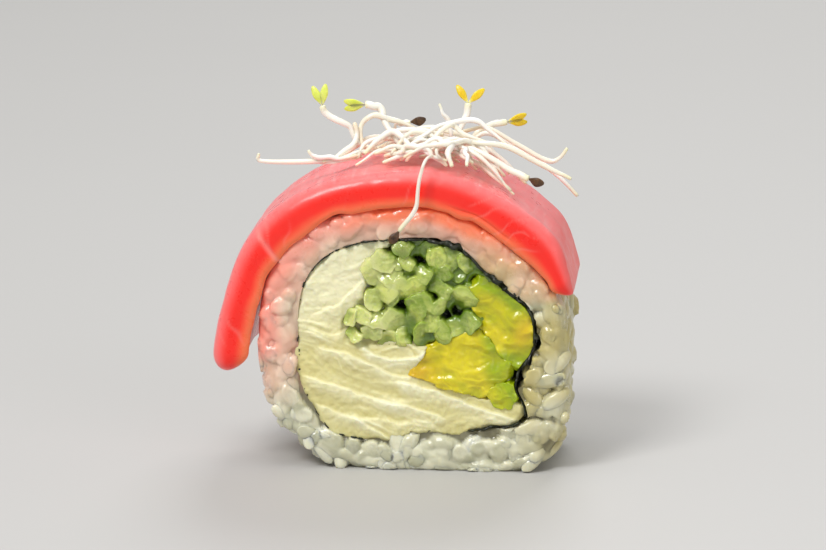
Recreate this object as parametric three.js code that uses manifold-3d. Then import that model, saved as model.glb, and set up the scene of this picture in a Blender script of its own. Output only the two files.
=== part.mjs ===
// One slice of an inside-out sushi roll: pressed rice round a sheet of nori, filled with cream cheese,
// cucumber sticks and avocado, with a slice of raw tuna draped over it and a tangle of sprouts on top.
// Millimetres, +Z up. The roll's axis runs along Y, the shown cut faces -Y, and the origin is the
// middle of the flat underside.
import * as THREE from "three";
import { mergeVertices } from "three/addons/utils/BufferGeometryUtils.js";
import Module from "manifold-3d";

const wasm = await Module();
wasm.setup();

// ---- driving sizes ----------------------------------------------------------------------------
const thickness = 22; // of the slice, along Y
const half = thickness / 2;
const gap = 0.3; // kept between neighbouring solids
const noriThickness = 0.4;

// Outlines in the X-Z plane. "full" is how square each quarter is: 2 is an ellipse, 5 nearly a box.
const riceOutline = {
  x: 0,
  z: 18.7,
  halfWidth: 22.4,
  above: 19.7,
  below: 19.8,
  turn: 0,
  full: { topRight: 1.75, topLeft: 2.45, lowLeft: 2.6, lowRight: 5.4 },
};
const fillingOutline = {
  x: 0.3,
  z: 19.7,
  halfWidth: 16.6,
  above: 13.7,
  below: 13.7,
  turn: 0,
  full: { topRight: 1.75, topLeft: 2.9, lowLeft: 3.3, lowRight: 3.5 },
};
const grain = {
  length: 6.2,
  width: 3.1,
  height: 2.6,
  faceRise: 0.8, // how far grains stand out of the core, on the cut faces and on the sides
  sideRise: 1.0,
  slack: 0.15, // the core's extra room under the fish
};
const tuna = {
  leftEnd: 190, // degrees round the roll's middle, from +X over the top
  rightEnd: 18,
  middle: 5.2, // thickness over the top, and at each end
  leftTip: 4.9,
  rightTip: 2.9,
  leftTaper: 40, // degrees over which it thins towards each end
  rightTaper: 22,
  depth: thickness + 0.6,
  corner: 1.1, // radius of its long edges
  flare: 1.9, // how far the hanging left end stands off the rice
  flareFrom: 160,
  round: 2.4, // length over which an end is rounded off
};
const avocado = {
  low: { x: 7.7, z: 14.7, halfWidth: 8.7, above: 5.4, below: 4.4, turn: -16, round: 2.1 },
  high: { x: 13.4, z: 22.9, halfWidth: 8.5, above: 4.2, below: 3.5, turn: -56, round: 2.2 },
};
// The cucumber lies as a wide heap, with a lobe that runs down into the cream cheese.
const cucumber = {
  heap: { x: 2.9, z: 26.5, halfWidth: 10.6, above: 9, below: 8.6, turn: 0, round: 2 },
  lobe: { x: -5, z: 21.9, halfWidth: 5.9, above: 4.1, below: 4.1, turn: 22, round: 2 },
  pitch: 2.9, // between sticks
  stick: 1.72, // radius
  sunk: 2.2, // how far the core lies behind the longest sticks' ends
  uneven: 0.9, // how far the ends differ
};
const smear = 0.45; // height of the waves that the knife leaves in the cream cheese
const sprout = {
  radius: 0.5,
  clear: 0.35, // room between a stem and the fish
  steps: 7,
  leaf: { length: 3.2, width: 1.5, depth: 0.9, fork: 0.4 },
  seed: { length: 2.3, width: 1.6, depth: 1.3 },
  lying: 13, // stems in the tangle
};
const pad = { from: 112, to: 64, halfWidth: 7, height: 1.1 };

// ---- small helpers ----------------------------------------------------------------------------
const radians = THREE.MathUtils.degToRad;
const degreesOf = (angle) => THREE.MathUtils.euclideanModulo(THREE.MathUtils.radToDeg(angle), 360);
const mix = THREE.MathUtils.lerp;
const smooth = THREE.MathUtils.smoothstep;
const turn = 2 * Math.PI;
const list = (count, make) => Array.from({ length: count }, (_, i) => make(i));

// The same number between 0 and 1 each time for the same n.
function draw(n) {
  const v = Math.sin(n * 12.9898 + 4.1414) * 43758.5453;
  return v - Math.floor(v);
}

// Distance from an outline's middle to its edge: a superellipse whose power is "round" all over, or
// blends from quarter to quarter near the axes.
function outlineRadius(o, angle, grow = 0) {
  const a = angle - radians(o.turn);
  const c = Math.cos(a);
  const s = Math.sin(a);
  const f = o.full ?? { topRight: o.round, topLeft: o.round, lowLeft: o.round, lowRight: o.round };
  const right = smooth(c, -0.4, 0.4);
  const low = mix(f.lowLeft, f.lowRight, right);
  const power = mix(low, mix(f.topLeft, f.topRight, right), smooth(s, -0.4, 0.4));
  const across = Math.abs(c) / (o.halfWidth + grow);
  const up = Math.abs(s) / ((s > 0 ? o.above : o.below) + grow);
  return (across ** power + up ** power) ** (-1 / power);
}

// A place in the X-Z plane, "r" from an outline's middle.
const around = (o, angle, r) => [o.x + r * Math.cos(angle), o.z + r * Math.sin(angle)];

// Is (x, z) inside an outline, with room to spare?
function inside(o, x, z, room = 0) {
  const angle = Math.atan2(z - o.z, x - o.x);
  return Math.hypot(x - o.x, z - o.z) < outlineRadius(o, angle) - room;
}

// A closed mesh as a solid that can be joined and cut.
function solidOf(geometry) {
  const plain = geometry.clone();
  for (const name of Object.keys(plain.attributes)) if (name !== "position") plain.deleteAttribute(name);
  const merged = mergeVertices(plain, 1e-4);
  const vertProperties = merged.attributes.position.array;
  const triVerts = new Uint32Array(merged.index.array);
  return new wasm.Manifold(new wasm.Mesh({ numProp: 3, vertProperties, triVerts }));
}

// The largest body of a solid as a geometry: loose scraps of a cut are dropped.
function geometryOf(solid) {
  const whole = solid.decompose().reduce((a, b) => (b.volume() > a.volume() ? b : a));
  const mesh = whole.getMesh();
  const geometry = new THREE.BufferGeometry();
  geometry.setAttribute("position", new THREE.BufferAttribute(mesh.vertProperties, 3));
  geometry.setIndex(new THREE.BufferAttribute(mesh.triVerts, 1));
  return geometry;
}

// A skin over rows of points, each row a closed loop. Its ends are closed by fans, or "joined" makes
// the last row meet the first.
function loftedSolid(rows, joined = false) {
  const sides = rows[0].length;
  const points = rows.flat();
  const index = [];
  const at = (i, j) => (i % rows.length) * sides + (j % sides);
  for (let i = 0; i < rows.length - (joined ? 0 : 1); i++)
    for (let j = 0; j < sides; j++) {
      index.push(at(i, j), at(i, j + 1), at(i + 1, j + 1));
      index.push(at(i, j), at(i + 1, j + 1), at(i + 1, j));
    }
  for (const i of joined ? [] : [0, rows.length - 1]) {
    const middle = points.length;
    points.push(list(3, (k) => rows[i].reduce((sum, p) => sum + p[k] / sides, 0)));
    for (let j = 0; j < sides; j++) index.push(middle, at(i, i ? j : j + 1), at(i, i ? j + 1 : j));
  }
  const geometry = new THREE.BufferGeometry();
  geometry.setAttribute("position", new THREE.Float32BufferAttribute(points.flat(), 3));
  geometry.setIndex(index);
  const made = solidOf(geometry);
  return made.volume() > 0 ? made : solidOf(geometry.setIndex(index.reverse()));
}

// A prism along Y from a closed outline.
function prism(outline, grow, front, back, sides = 32) {
  const row = (y) =>
    list(sides, (i) => {
      const angle = (i / sides) * turn;
      const [x, z] = around(outline, angle, outlineRadius(outline, angle, grow));
      return [x, y, z];
    });
  return loftedSolid([row(front), row(back)]);
}

const through = (outline, grow, sides) => prism(outline, grow, -thickness, thickness, sides);

// ---- rice -------------------------------------------------------------------------------------
const noriRoom = gap + noriThickness + gap;

// 1 where the fish lies on the rice, 0 where the rice is bare.
function underFish(degrees) {
  const fromRight = smooth(degrees, tuna.rightEnd - 4, tuna.rightEnd + 4);
  return fromRight * (1 - smooth(degrees, tuna.leftEnd - 6, tuna.leftEnd + 4));
}

// The bare core is full size under the fish, and a grain's rise lower where grains lie on it.
function riceRadius(angle) {
  return outlineRadius(riceOutline, angle) - mix(grain.sideRise, grain.slack, underFish(degreesOf(angle)));
}

function riceCore() {
  const steps = 60;
  const face = half - grain.faceRise;
  const bevel = 0.8;
  const rows = list(steps, (i) => {
    const angle = (i / steps) * turn;
    const [innerX, innerZ] = around(fillingOutline, angle, outlineRadius(fillingOutline, angle, noriRoom));
    const outer = (inset, y) => {
      const [x, z] = around(riceOutline, angle, riceRadius(angle) - inset);
      return [x, y, Math.max(0, z)];
    };
    const skin = [outer(bevel, -face), outer(0, bevel - face), outer(0, face - bevel), outer(bevel, face)];
    return [[innerX, -face, innerZ], ...skin, [innerX, face, innerZ]];
  });
  return loftedSolid(rows, true);
}

// One cooked grain: a small closed egg, along "way" and lying on the plane across "out".
function riceGrain(middle, way, out, size) {
  const egg = new THREE.SphereGeometry(0.5, 5, 4);
  egg.scale(grain.width * size, grain.length * size, grain.height * size);
  const side = new THREE.Vector3().crossVectors(way, out).normalize();
  const along = new THREE.Vector3().crossVectors(out, side).normalize();
  egg.applyMatrix4(new THREE.Matrix4().makeBasis(side, along, out).setPosition(middle));
  return solidOf(egg);
}

// Grains on both cut faces, in two rows round the ring, or one where it is narrow.
function faceGrains() {
  const grains = [];
  const rows = [
    { count: 26, place: 0.26 },
    { count: 19, place: 0.75 },
  ];
  for (const side of [-1, 1])
    for (const [k, row] of rows.entries())
      for (let i = 0; i < row.count; i++) {
        const n = 1000 * (side + 2) + 100 * k + i;
        const angle = ((i + 0.5 * draw(n)) / row.count) * turn;
        const width = riceRadius(angle) - outlineRadius(fillingOutline, angle, noriRoom);
        const narrow = width < 1.7 * grain.width;
        if (k && narrow) continue;
        const size = mix(0.85, 1.05, draw(n + 3));
        const [x, z] = around(riceOutline, angle, riceRadius(angle) - width * (narrow ? 0.5 : row.place));
        const heading = angle + turn / 4 + (draw(n + 7) - 0.5) * 1.1;
        const middle = new THREE.Vector3(x, side * (half - (grain.height / 2) * size), z);
        const way = new THREE.Vector3(Math.cos(heading), 0, Math.sin(heading));
        grains.push(riceGrain(middle, way, new THREE.Vector3(0, side, 0), size));
      }
  return grains;
}

// Grains on the sides that the fish leaves bare, in staggered rows along the roll.
function sideGrains() {
  const grains = [];
  const rows = 21;
  const across = 4; // grains in a row
  const spread = thickness - 3;
  for (let row = 0; row < rows; row++)
    for (let i = 0; i < across; i++) {
      const degrees = mix(tuna.leftEnd + 3, 360 + tuna.rightEnd - 4, row / (rows - 1));
      const n = 5000 + 40 * row + i;
      const angle = radians(degrees + (draw(n) - 0.5) * 3);
      const [x, z] = around(riceOutline, angle, riceRadius(angle) - 0.35);
      if (z < grain.height * 0.3) continue;
      const y = ((i + 0.5 + (row % 2 ? 0.22 : -0.22)) / across - 0.5) * spread;
      const out = new THREE.Vector3(Math.cos(angle), 0, Math.sin(angle));
      const lean = (draw(n + 5) - 0.5) * 2.4;
      const round = new THREE.Vector3(-Math.sin(angle), 0, Math.cos(angle)).multiplyScalar(Math.sin(lean));
      const way = new THREE.Vector3(0, Math.cos(lean), 0).add(round);
      grains.push(riceGrain(new THREE.Vector3(x, y, z), way, out, mix(0.88, 1.08, draw(n + 9))));
    }
  return grains;
}

function riceSolid() {
  const heap = wasm.Manifold.union([riceCore(), ...faceGrains(), ...sideGrains()]);
  const flat = heap.trimByPlane([0, 0, 1], 0).trimByPlane([0, 1, 0], -half).trimByPlane([0, -1, 0], -half);
  return flat.subtract(through(fillingOutline, noriRoom, 60)).subtract(tunaSolid(gap));
}

// ---- tuna -------------------------------------------------------------------------------------
// Distance from the middle of the roll to the fish's underside, its thickness, and its upper side.
function fishInner(angle) {
  const standOff = tuna.flare * smooth(degreesOf(angle), tuna.flareFrom, tuna.leftEnd);
  return outlineRadius(riceOutline, angle) + gap + standOff;
}

function fishDepth(angle) {
  const degrees = degreesOf(angle);
  const left = mix(tuna.leftTip, tuna.middle, smooth(tuna.leftEnd - degrees, 0, tuna.leftTaper));
  return mix(tuna.rightTip, left, smooth(degrees, tuna.rightEnd, tuna.rightEnd + tuna.rightTaper));
}

const fishOuter = (angle) => fishInner(angle) + fishDepth(angle);

// A flat slab section with round corners, as [along Y, across] pairs from its middle.
function slabSection(halfY, halfR, corner) {
  const c = Math.min(corner, halfR * 0.95);
  return list(12, (i) => {
    const a = ((i + 0.5) / 12) * turn;
    return [
      Math.sign(Math.cos(a)) * (halfY - c) + c * Math.cos(a),
      Math.sign(Math.sin(a)) * (halfR - c) + c * Math.sin(a),
    ];
  });
}

// The slice of fish: the slab section carried round the rice, with both ends rounded off.
function tunaSolid(grow = 0) {
  const steps = 26;
  const length = riceOutline.halfWidth * radians(tuna.leftEnd - tuna.rightEnd);
  const rows = list(steps + 1, (i) => {
    const t = mix((1 - Math.cos((i / steps) * Math.PI)) / 2, i / steps, 0.5); // closer together at the ends
    const angle = radians(mix(tuna.leftEnd, tuna.rightEnd, t));
    const lost = 1 - Math.min(1, (length * Math.min(t, 1 - t) + 0.2) / tuna.round);
    const swell = Math.sqrt(1 - lost * lost);
    const halfDepth = fishDepth(angle) / 2;
    const section = slabSection((tuna.depth / 2) * mix(0.92, 1, swell) + grow, halfDepth * swell + grow, tuna.corner);
    return section.map(([y, across]) => {
      const [x, z] = around(riceOutline, angle, fishInner(angle) + halfDepth + across);
      return [x, y, z];
    });
  });
  return loftedSolid(rows);
}

// ---- filling ----------------------------------------------------------------------------------
// The nori sheet, rolled round the filling, with its two edges meeting low on the right.
function noriSolid() {
  const steps = 48;
  const seam = radians(-38);
  const open = 0.03; // radians
  const y = half - 0.3;
  const rows = list(steps + 1, (i) => {
    const angle = seam + mix(open, turn - open, i / steps);
    const [ax, az] = around(fillingOutline, angle, outlineRadius(fillingOutline, angle, gap));
    const [bx, bz] = around(fillingOutline, angle, outlineRadius(fillingOutline, angle, gap + noriThickness));
    return [[ax, -y, az], [bx, -y, bz], [bx, y, bz], [ax, y, az]];
  });
  return loftedSolid(rows);
}

// The whole round of the filling, with soft smeared waves on both cut faces.
function fillingRound() {
  const sides = 40;
  const rings = [0.35, 0.65, 0.88, 1];
  const row = (share, side) =>
    list(sides, (i) => {
      const angle = (i / sides) * turn;
      const [x, z] = around(fillingOutline, angle, outlineRadius(fillingOutline, angle) * share);
      const wave = Math.sin(0.55 * x + 0.9 * z + 2 * side) + Math.sin(0.3 * z - 0.42 * x + side);
      return [x, side * (half - smear + (smear / 2) * wave * (share < 1 ? 1 : 0.3)), z];
    });
  return loftedSolid([...rings.map((s) => row(s, -1)), ...rings.map((s) => row(s, 1)).reverse()]);
}

function avocadoSolid(name) {
  const end = half - 0.2;
  const piece = prism(avocado[name], 0, -end, end).intersect(through(fillingOutline, 0, 60));
  return name === "low" ? piece : piece.subtract(through(avocado.low, gap));
}

// Middles of the sticks: staggered rows with a little disorder, where the heap or its lobe reaches.
function stickMiddles() {
  const middles = [];
  for (let row = -4; row <= 3; row++)
    for (let column = -5; column <= 4; column++) {
      const n = 300 + 20 * row + column;
      const offset = row % 2 ? 0.5 : 0;
      const x = cucumber.heap.x + cucumber.pitch * (column + offset + (draw(n) - 0.5) * 0.3);
      const z = cucumber.heap.z + cucumber.pitch * (0.87 * row + (draw(n + 400) - 0.5) * 0.3);
      const held = inside(cucumber.heap, x, z, 1.2) || inside(cucumber.lobe, x, z, 1.2);
      const clear = !inside(avocado.low, x, z, -0.8) && !inside(avocado.high, x, z, -0.8);
      if (held && clear && inside(fillingOutline, x, z, 1.1)) middles.push([x, z, n]);
    }
  return middles;
}

function cucumberSpace(grow, end) {
  const parts = [cucumber.heap, cucumber.lobe].map((o) => prism(o, grow, -end, end));
  return parts[0].add(parts[1]).intersect(through(fillingOutline, grow, 60));
}

function cucumberSolid() {
  const longest = half - 0.15;
  const sticks = stickMiddles().map(([x, z, n]) => {
    const size = cucumber.stick * mix(0.85, 1.12, draw(n + 31));
    const side = { x, z, halfWidth: size, above: size * 0.92, below: size * 0.85, turn: 360 * draw(n + 57), round: 2.5 };
    const front = longest - cucumber.uneven * draw(n + 71);
    return prism(side, 0, -front, longest - cucumber.uneven * draw(n + 91), 6);
  });
  const heap = wasm.Manifold.union([cucumberSpace(0, longest - cucumber.sunk), ...sticks]);
  const held = heap.intersect(cucumberSpace(0, thickness));
  return held.subtract(through(avocado.low, gap)).subtract(through(avocado.high, gap));
}

function creamSolid() {
  const spaces = [through(avocado.low, gap), through(avocado.high, gap), cucumberSpace(gap, thickness)];
  return spaces.reduce((rest, space) => rest.subtract(space), fillingRound());
}

// ---- sprouts ----------------------------------------------------------------------------------
// A point at an angle round the roll, a place along it, and a height above the fish.
function overFish(degrees, y, height) {
  const angle = radians(degrees);
  const [x, z] = around(riceOutline, angle, fishOuter(angle) + height);
  return [x, y, z];
}

// Moves a stem's point out until the stem clears the fish's upper side.
function liftClear([x, y, z]) {
  const room = sprout.radius + sprout.clear;
  const angle = Math.atan2(z - riceOutline.z, x - riceOutline.x);
  const height = Math.hypot(x - riceOutline.x, z - riceOutline.z) - fishOuter(angle);
  const beside = Math.abs(y) > tuna.depth / 2 + room;
  return new THREE.Vector3(...(beside || height > room ? [x, y, z] : overFish(degreesOf(angle), y, room)));
}

// Sprouts that stand out of the tangle: what the tip carries, and the run from foot to tip.
const standing = [
  { tip: "bare", run: [[-1.6, -3, 45], [-7.9, -4, 45.2], [-11.6, -4.5, 44], [-21.8, -5, 43.7], [-22.9, -5, 45]] },
  { tip: "leaves", run: [[-4.7, -1.5, 44.9], [-8.6, -2, 46.2], [-10, -2, 48.9], [-13.3, -2, 50.6], [-13.9, -2, 52]] },
  { tip: "leaves", fork: 0.2, run: [[-0.4, 1, 44.9], [-3.4, 0.5, 46.9], [-5.6, 0, 49.5], [-7.9, 0, 51.5]] },
  { tip: "bare", run: [[4.6, 1, 44.9], [4.2, 1, 48], [2.7, 1, 51.6]] },
  { tip: "leaves", fork: 0.7, run: [[4.6, 3.5, 44.9], [5.8, 5.5, 47.6], [6.5, 6.5, 51]] },
  { tip: "leaves", fork: 0.2, run: [[6.2, 3, 44.7], [8.6, 4, 47.4], [12.2, 5.5, 48.3]] },
  { tip: "seed", run: [[5.5, -3.5, 44.8], [8.4, -5.5, 46.2], [13.9, -7, 43.3], [16.2, -7.5, 42.4]] },
  { tip: "bare", run: [[6.4, 2, 44.8], [9.6, 3, 47], [15.9, 4.5, 43.2], [19.6, 5, 40.6], [22.6, 5, 37.6]] },
  { tip: "seed", run: [[2.8, -5, 45], [1.9, -11.9, 45.8], [1.2, -12.7, 43.7], [0.4, -12.7, 39], [-1.9, -12.7, 35.5]] },
  { tip: "bare", run: [[5.5, -4.5, 44.8], [7.2, -7.5, 46.4], [7.6, -11, 44.8]] },
];

// Sprouts that lie across each other in the tangle, each arched from its foot in the pad.
function lyingRuns() {
  return list(sprout.lying, (i) => {
    const n = 700 + i * 11;
    const way = i % 3 === 1 ? 1 : -1;
    const from = mix(104, 72, draw(n)) - way * 8;
    const reach = way * mix(18, 44, draw(n + 1));
    const y = mix(-6.4, 6.4, draw(n + 2));
    const drift = mix(-7, 7, draw(n + 3));
    const rise = mix(0.8, 3, draw(n + 4));
    return list(4, (k) => {
      const t = k / 3;
      return overFish(from + reach * t, y + drift * t * t, 0.7 + rise * Math.sin(Math.PI * t));
    });
  });
}

function stemSolid(run) {
  const rough = new THREE.CatmullRomCurve3(run.map(liftClear));
  const clear = rough.getSpacedPoints(sprout.steps).map((p) => liftClear(p.toArray()));
  const corner = (i) => new THREE.Vector2(Math.cos((i / 5) * turn), Math.sin((i / 5) * turn));
  const ring = new THREE.Shape(list(5, (i) => corner(i).multiplyScalar(sprout.radius)));
  const settings = { steps: sprout.steps, bevelEnabled: false, extrudePath: new THREE.CatmullRomCurve3(clear) };
  return solidOf(new THREE.ExtrudeGeometry(ring, settings));
}

// A seed leaf or a seed: a small egg from "root" towards "way".
function eggSolid(root, way, { length, width, depth }) {
  const egg = new THREE.SphereGeometry(0.5, 6, 4);
  egg.scale(width, length, depth).translate(0, length * 0.4, 0);
  egg.applyQuaternion(new THREE.Quaternion().setFromUnitVectors(new THREE.Vector3(0, 1, 0), way));
  egg.translate(root.x, root.y, root.z);
  return solidOf(egg);
}

function tipSolids({ tip, run, fork = sprout.leaf.fork }) {
  const [before, end] = run.slice(-2).map(liftClear);
  const way = end.clone().sub(before).normalize();
  if (tip === "bare") return [];
  if (tip === "seed") return [eggSolid(end, way, sprout.seed)];
  const axis = new THREE.Vector3(0, 1, 0);
  return [-1, 1].map((lean) => eggSolid(end, way.clone().applyAxisAngle(axis, lean * fork), sprout.leaf));
}

// The matted foot of the tangle: a thin pad that lies on the fish and joins every sprout.
function padSolid() {
  const steps = 10;
  const rows = list(steps + 1, (i) => {
    const degrees = mix(pad.from, pad.to, i / steps);
    const size = Math.sqrt(Math.max(0.05, 1 - (2 * (i / steps) - 1) ** 2));
    const edge = pad.halfWidth * size;
    const top = sprout.clear + pad.height * size;
    const low = [overFish(degrees, -edge, sprout.clear), overFish(degrees, edge, sprout.clear)];
    return [...low, overFish(degrees, 0.6 * edge, top), overFish(degrees, -0.6 * edge, top)];
  });
  return loftedSolid(rows);
}

function sproutSolid() {
  const stems = [...standing.map((s) => s.run), ...lyingRuns()].map(stemSolid);
  const heap = wasm.Manifold.union([padSolid(), ...stems, ...standing.flatMap(tipSolids)]);
  return heap.subtract(tunaSolid(gap));
}

// ---- the slice --------------------------------------------------------------------------------
const pieces = [
  { name: "rice", solid: riceSolid(), color: 0xdcdccb, roughness: 0.4 },
  { name: "nori", solid: noriSolid(), color: 0x10140c, roughness: 0.45 },
  { name: "cream_cheese", solid: creamSolid(), color: 0xe9e4bb, roughness: 0.45 },
  { name: "cucumber", solid: cucumberSolid(), color: 0xa9c46a, roughness: 0.3 },
  { name: "avocado_low", solid: avocadoSolid("low"), color: 0xc9c52c, roughness: 0.35 },
  { name: "avocado_high", solid: avocadoSolid("high"), color: 0xc4c936, roughness: 0.35 },
  { name: "tuna", solid: tunaSolid(), color: 0xf0454a, roughness: 0.35 },
  { name: "sprouts", solid: sproutSolid(), color: 0xf0e9cf, roughness: 0.4 },
];

const slice = new THREE.Group();
for (const { name, solid, ...look } of pieces) {
  const mesh = new THREE.Mesh(geometryOf(solid), new THREE.MeshStandardMaterial({ ...look, metalness: 0 }));
  mesh.name = name;
  slice.add(mesh);
}

export default slice;
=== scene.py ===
import math
import bpy
import numpy as np
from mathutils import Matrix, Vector


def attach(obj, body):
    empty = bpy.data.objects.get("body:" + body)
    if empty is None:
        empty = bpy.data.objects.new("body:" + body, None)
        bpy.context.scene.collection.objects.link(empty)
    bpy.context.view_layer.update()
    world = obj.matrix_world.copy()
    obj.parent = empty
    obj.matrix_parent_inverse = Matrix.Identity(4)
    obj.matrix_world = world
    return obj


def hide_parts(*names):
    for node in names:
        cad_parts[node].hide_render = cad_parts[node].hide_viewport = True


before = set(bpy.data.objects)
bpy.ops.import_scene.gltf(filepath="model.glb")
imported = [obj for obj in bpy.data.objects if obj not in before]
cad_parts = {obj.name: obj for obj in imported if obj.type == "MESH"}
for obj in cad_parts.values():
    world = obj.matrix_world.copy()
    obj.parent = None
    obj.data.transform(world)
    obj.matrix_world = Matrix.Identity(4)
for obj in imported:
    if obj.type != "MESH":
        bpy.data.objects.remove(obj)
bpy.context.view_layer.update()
mm = 0.001  # all sizes below are in millimetres, turned to metres as each mesh is made
fullTurn = 2 * math.pi

# the slice as built: outlines in the X-Z plane, the roll's axis along Y, the shown cut facing -Y;
# "full" is the power of a superellipse in each quarter: upper right, upper left, lower left, lower right
slab = {"half": 11.0, "gap": 0.3, "nori": 0.4, "lap": 0.22}  # "lap": how far cut pieces reach into the nori
riceOutline = {"x": 0, "z": 18.7, "halfWidth": 22.4, "above": 19.7, "below": 19.8, "turn": 0,
               "full": (1.75, 2.45, 2.6, 5.4)}
fillingOutline = {"x": 0.3, "z": 19.7, "halfWidth": 16.6, "above": 13.7, "below": 13.7, "turn": 0,
                  "full": (1.75, 2.9, 3.3, 3.5)}
cucumberHeap = {"x": 2.9, "z": 26.5, "halfWidth": 10.6, "above": 9, "below": 8.6, "turn": 0,
                "full": (2,) * 4}
cucumberLobe = {"x": -5, "z": 21.9, "halfWidth": 5.9, "above": 4.1, "below": 4.1, "turn": 22,
                "full": (2,) * 4}
# where the fish lies, in degrees round the roll, and how thick it is at its ends and between them
fish = {"leftEnd": 190, "rightEnd": 18, "middle": 5.2, "leftTip": 4.9, "rightTip": 2.9, "leftTaper": 40,
        "rightTaper": 22, "halfDepth": 11.3, "flare": 1.9, "flareFrom": 160, "round": 2.4}
# where the roll was squeezed: in degrees where a dent starts, is full, is full still and ends, and its
# depth, below zero where the filling bulges out
squeezed = [(323, 335, 339, 357, 2.3), (12, 34, 42, 64, 1.1), (212, 232, 242, 264, -1.8),
            (308, 319, 323, 332, -1.2)]
# parts of the roll, in degrees round it: where each starts, is full, is full still and ends
spans = {
    "closed": (148, 168, 292, 308),   # low on the left: cheese and rice have closed over the nori's edge
    "thin": (85, 115, 148, 168),      # on the upper left: the nori shows as a thin line
    "lapped": (95, 120, 150, 165),    # on the upper left: the cheese laps over that line a little
    "smeared": (-8, 40, 150, 200),    # under the fish and on the right shoulder: smeared by the knife
    "juice": (150, 180, 190, 212),    # down the left side: juice from the fish
    "tan": (-60, -20, 50, 75),        # low on the right and on the right shoulder: yellower rice
    "crack": (44, 52, 68, 80),        # a crack along the fish's lower edge
    "thickNori": (45, 65, 150, 185),  # on the right, counted from straight down: the torn nori is thick
}
goldenShare, secondShare = 0.6180340, 0.7548777  # steps that spread things evenly over a line and an area


# the same number between 0 and 1 each time for the same n: the fraction of a large multiple of a sine
def draw(n):
    v = np.sin(np.asarray(n, float) * 12.9898 + 4.1414) * 43758.5453
    return v - np.floor(v)


# a where t is 0, b where it is 1, and in a straight line between
def mix(a, b, t):
    return a + (b - a) * t


# 0 below low, 1 above high, and 3tt-2ttt of the share between
def smoothStep(v, low, high):
    t = np.clip((v - low) / (high - low), 0, 1)
    return t * t * (3 - 2 * t)


# 0 below start, 1 from full to still, and 0 again above end
def between(v, start, full, still, end):
    return smoothStep(v, start, full) * (1 - smoothStep(v, still, end))


# 1 at 0, falling away on both sides as a bell: an exponential of minus the square
def bell(v, width):
    return np.exp(-(v / width) ** 2)


# v, held under top by a soft limit: less the logarithm of one and an exponential of what is over it
def softLimit(v, top, sharp):
    return v - np.log1p(np.exp(sharp * (v - top))) / sharp


# value noise from -1 to 1: a number for each corner of a unit lattice, blended by 6t^5-15t^4+10t^3
def valueNoise(x, y, z, seed=0):
    cell = [np.floor(v) for v in (x, y, z)]
    part = [v - c for v, c in zip((x, y, z), cell)]
    blend = [t * t * t * (t * (6 * t - 15) + 10) for t in part]
    total = 0
    for corner in range(8):
        side = [corner & 1, corner >> 1 & 1, corner >> 2 & 1]
        share = 1
        for b, s in zip(blend, side):
            share = share * (b if s else 1 - b)
        i, j, k = (c + s for c, s in zip(cell, side))
        v = np.sin(i * 127.1 + j * 311.7 + k * 74.7 + seed * 53.3) * 43758.5453
        total = total + share * (v - np.floor(v))
    return 2 * total - 1


# noise summed over octaves, each twice as fine and half as high as the one before
def cloud(x, y, z, seed=0, octaves=3):
    return sum(valueNoise(x * 2 ** k, y * 2 ** k, z * 2 ** k, seed + k) / 2 ** k for k in range(octaves))


# angle and distance of (x, z) from an outline's middle, and the way back
def toPolar(o, x, z):
    dx, dz = x - o["x"], z - o["z"]
    return np.arctan2(dz, dx), np.hypot(dx, dz)


def fromPolar(o, angle, r):
    return o["x"] + r * np.cos(angle), o["z"] + r * np.sin(angle)


# degrees round the roll, counted from first up to a turn more
def degreesRound(x, z, first=0):
    return (np.degrees(toPolar(riceOutline, x, z)[0]) - first) % 360 + first


# distance from an outline's middle to its edge: a superellipse whose power blends between quarters
def outlineRadius(o, angle, grow=0.0):
    c = np.cos(angle - math.radians(o["turn"]))
    s = np.sin(angle - math.radians(o["turn"]))
    topRight, topLeft, lowLeft, lowRight = o["full"]
    right = smoothStep(c, -0.4, 0.4)
    power = mix(mix(lowLeft, lowRight, right), mix(topLeft, topRight, right), smoothStep(s, -0.4, 0.4))
    across = np.abs(c) / (o["halfWidth"] + grow)
    up = np.abs(s) / (np.where(s > 0, o["above"], o["below"]) + grow)
    return (across ** power + up ** power) ** (-1 / power)


# how far (x, z) is inside an outline: negative outside it
def depthInside(o, x, z):
    angle, r = toPolar(o, x, z)
    return outlineRadius(o, angle) - r


# distance from the filling's middle to its edge, with the dents where it was squeezed
def fillingRadius(angle, grow=0.0):
    degrees = np.degrees(angle) % 360
    pressedIn = sum(deep * between(degrees, *at) for *at, deep in squeezed)
    return outlineRadius(fillingOutline, angle, grow) - pressedIn


# distance from the rice's middle to the fish's lower side, the fish's thickness, and the distance to its
# upper side, by degrees
def fishInner(degrees):
    standOff = fish["flare"] * smoothStep(degrees, fish["flareFrom"], fish["leftEnd"])
    return outlineRadius(riceOutline, np.radians(degrees)) + slab["gap"] + standOff


def fishDepth(degrees):
    left = mix(fish["leftTip"], fish["middle"], smoothStep(fish["leftEnd"] - degrees, 0, fish["leftTaper"]))
    right = smoothStep(degrees, fish["rightEnd"], fish["rightEnd"] + fish["rightTaper"])
    return mix(fish["rightTip"], left, right)


def fishOuter(degrees):
    return fishInner(degrees) + fishDepth(degrees)


# quads between neighbouring rows of points, each row a closed loop; joined also links last to first
def skinFaces(rows, around, joined=False):
    i = np.arange(rows if joined else rows - 1)[:, None]
    j = np.arange(around)[None, :]
    k = (j + 1) % around
    below = (i + 1) % rows * around
    corners = np.broadcast_arrays(i * around + j, i * around + k, below + k, below + j)
    return np.stack(corners, -1).reshape(-1, 4)


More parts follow.
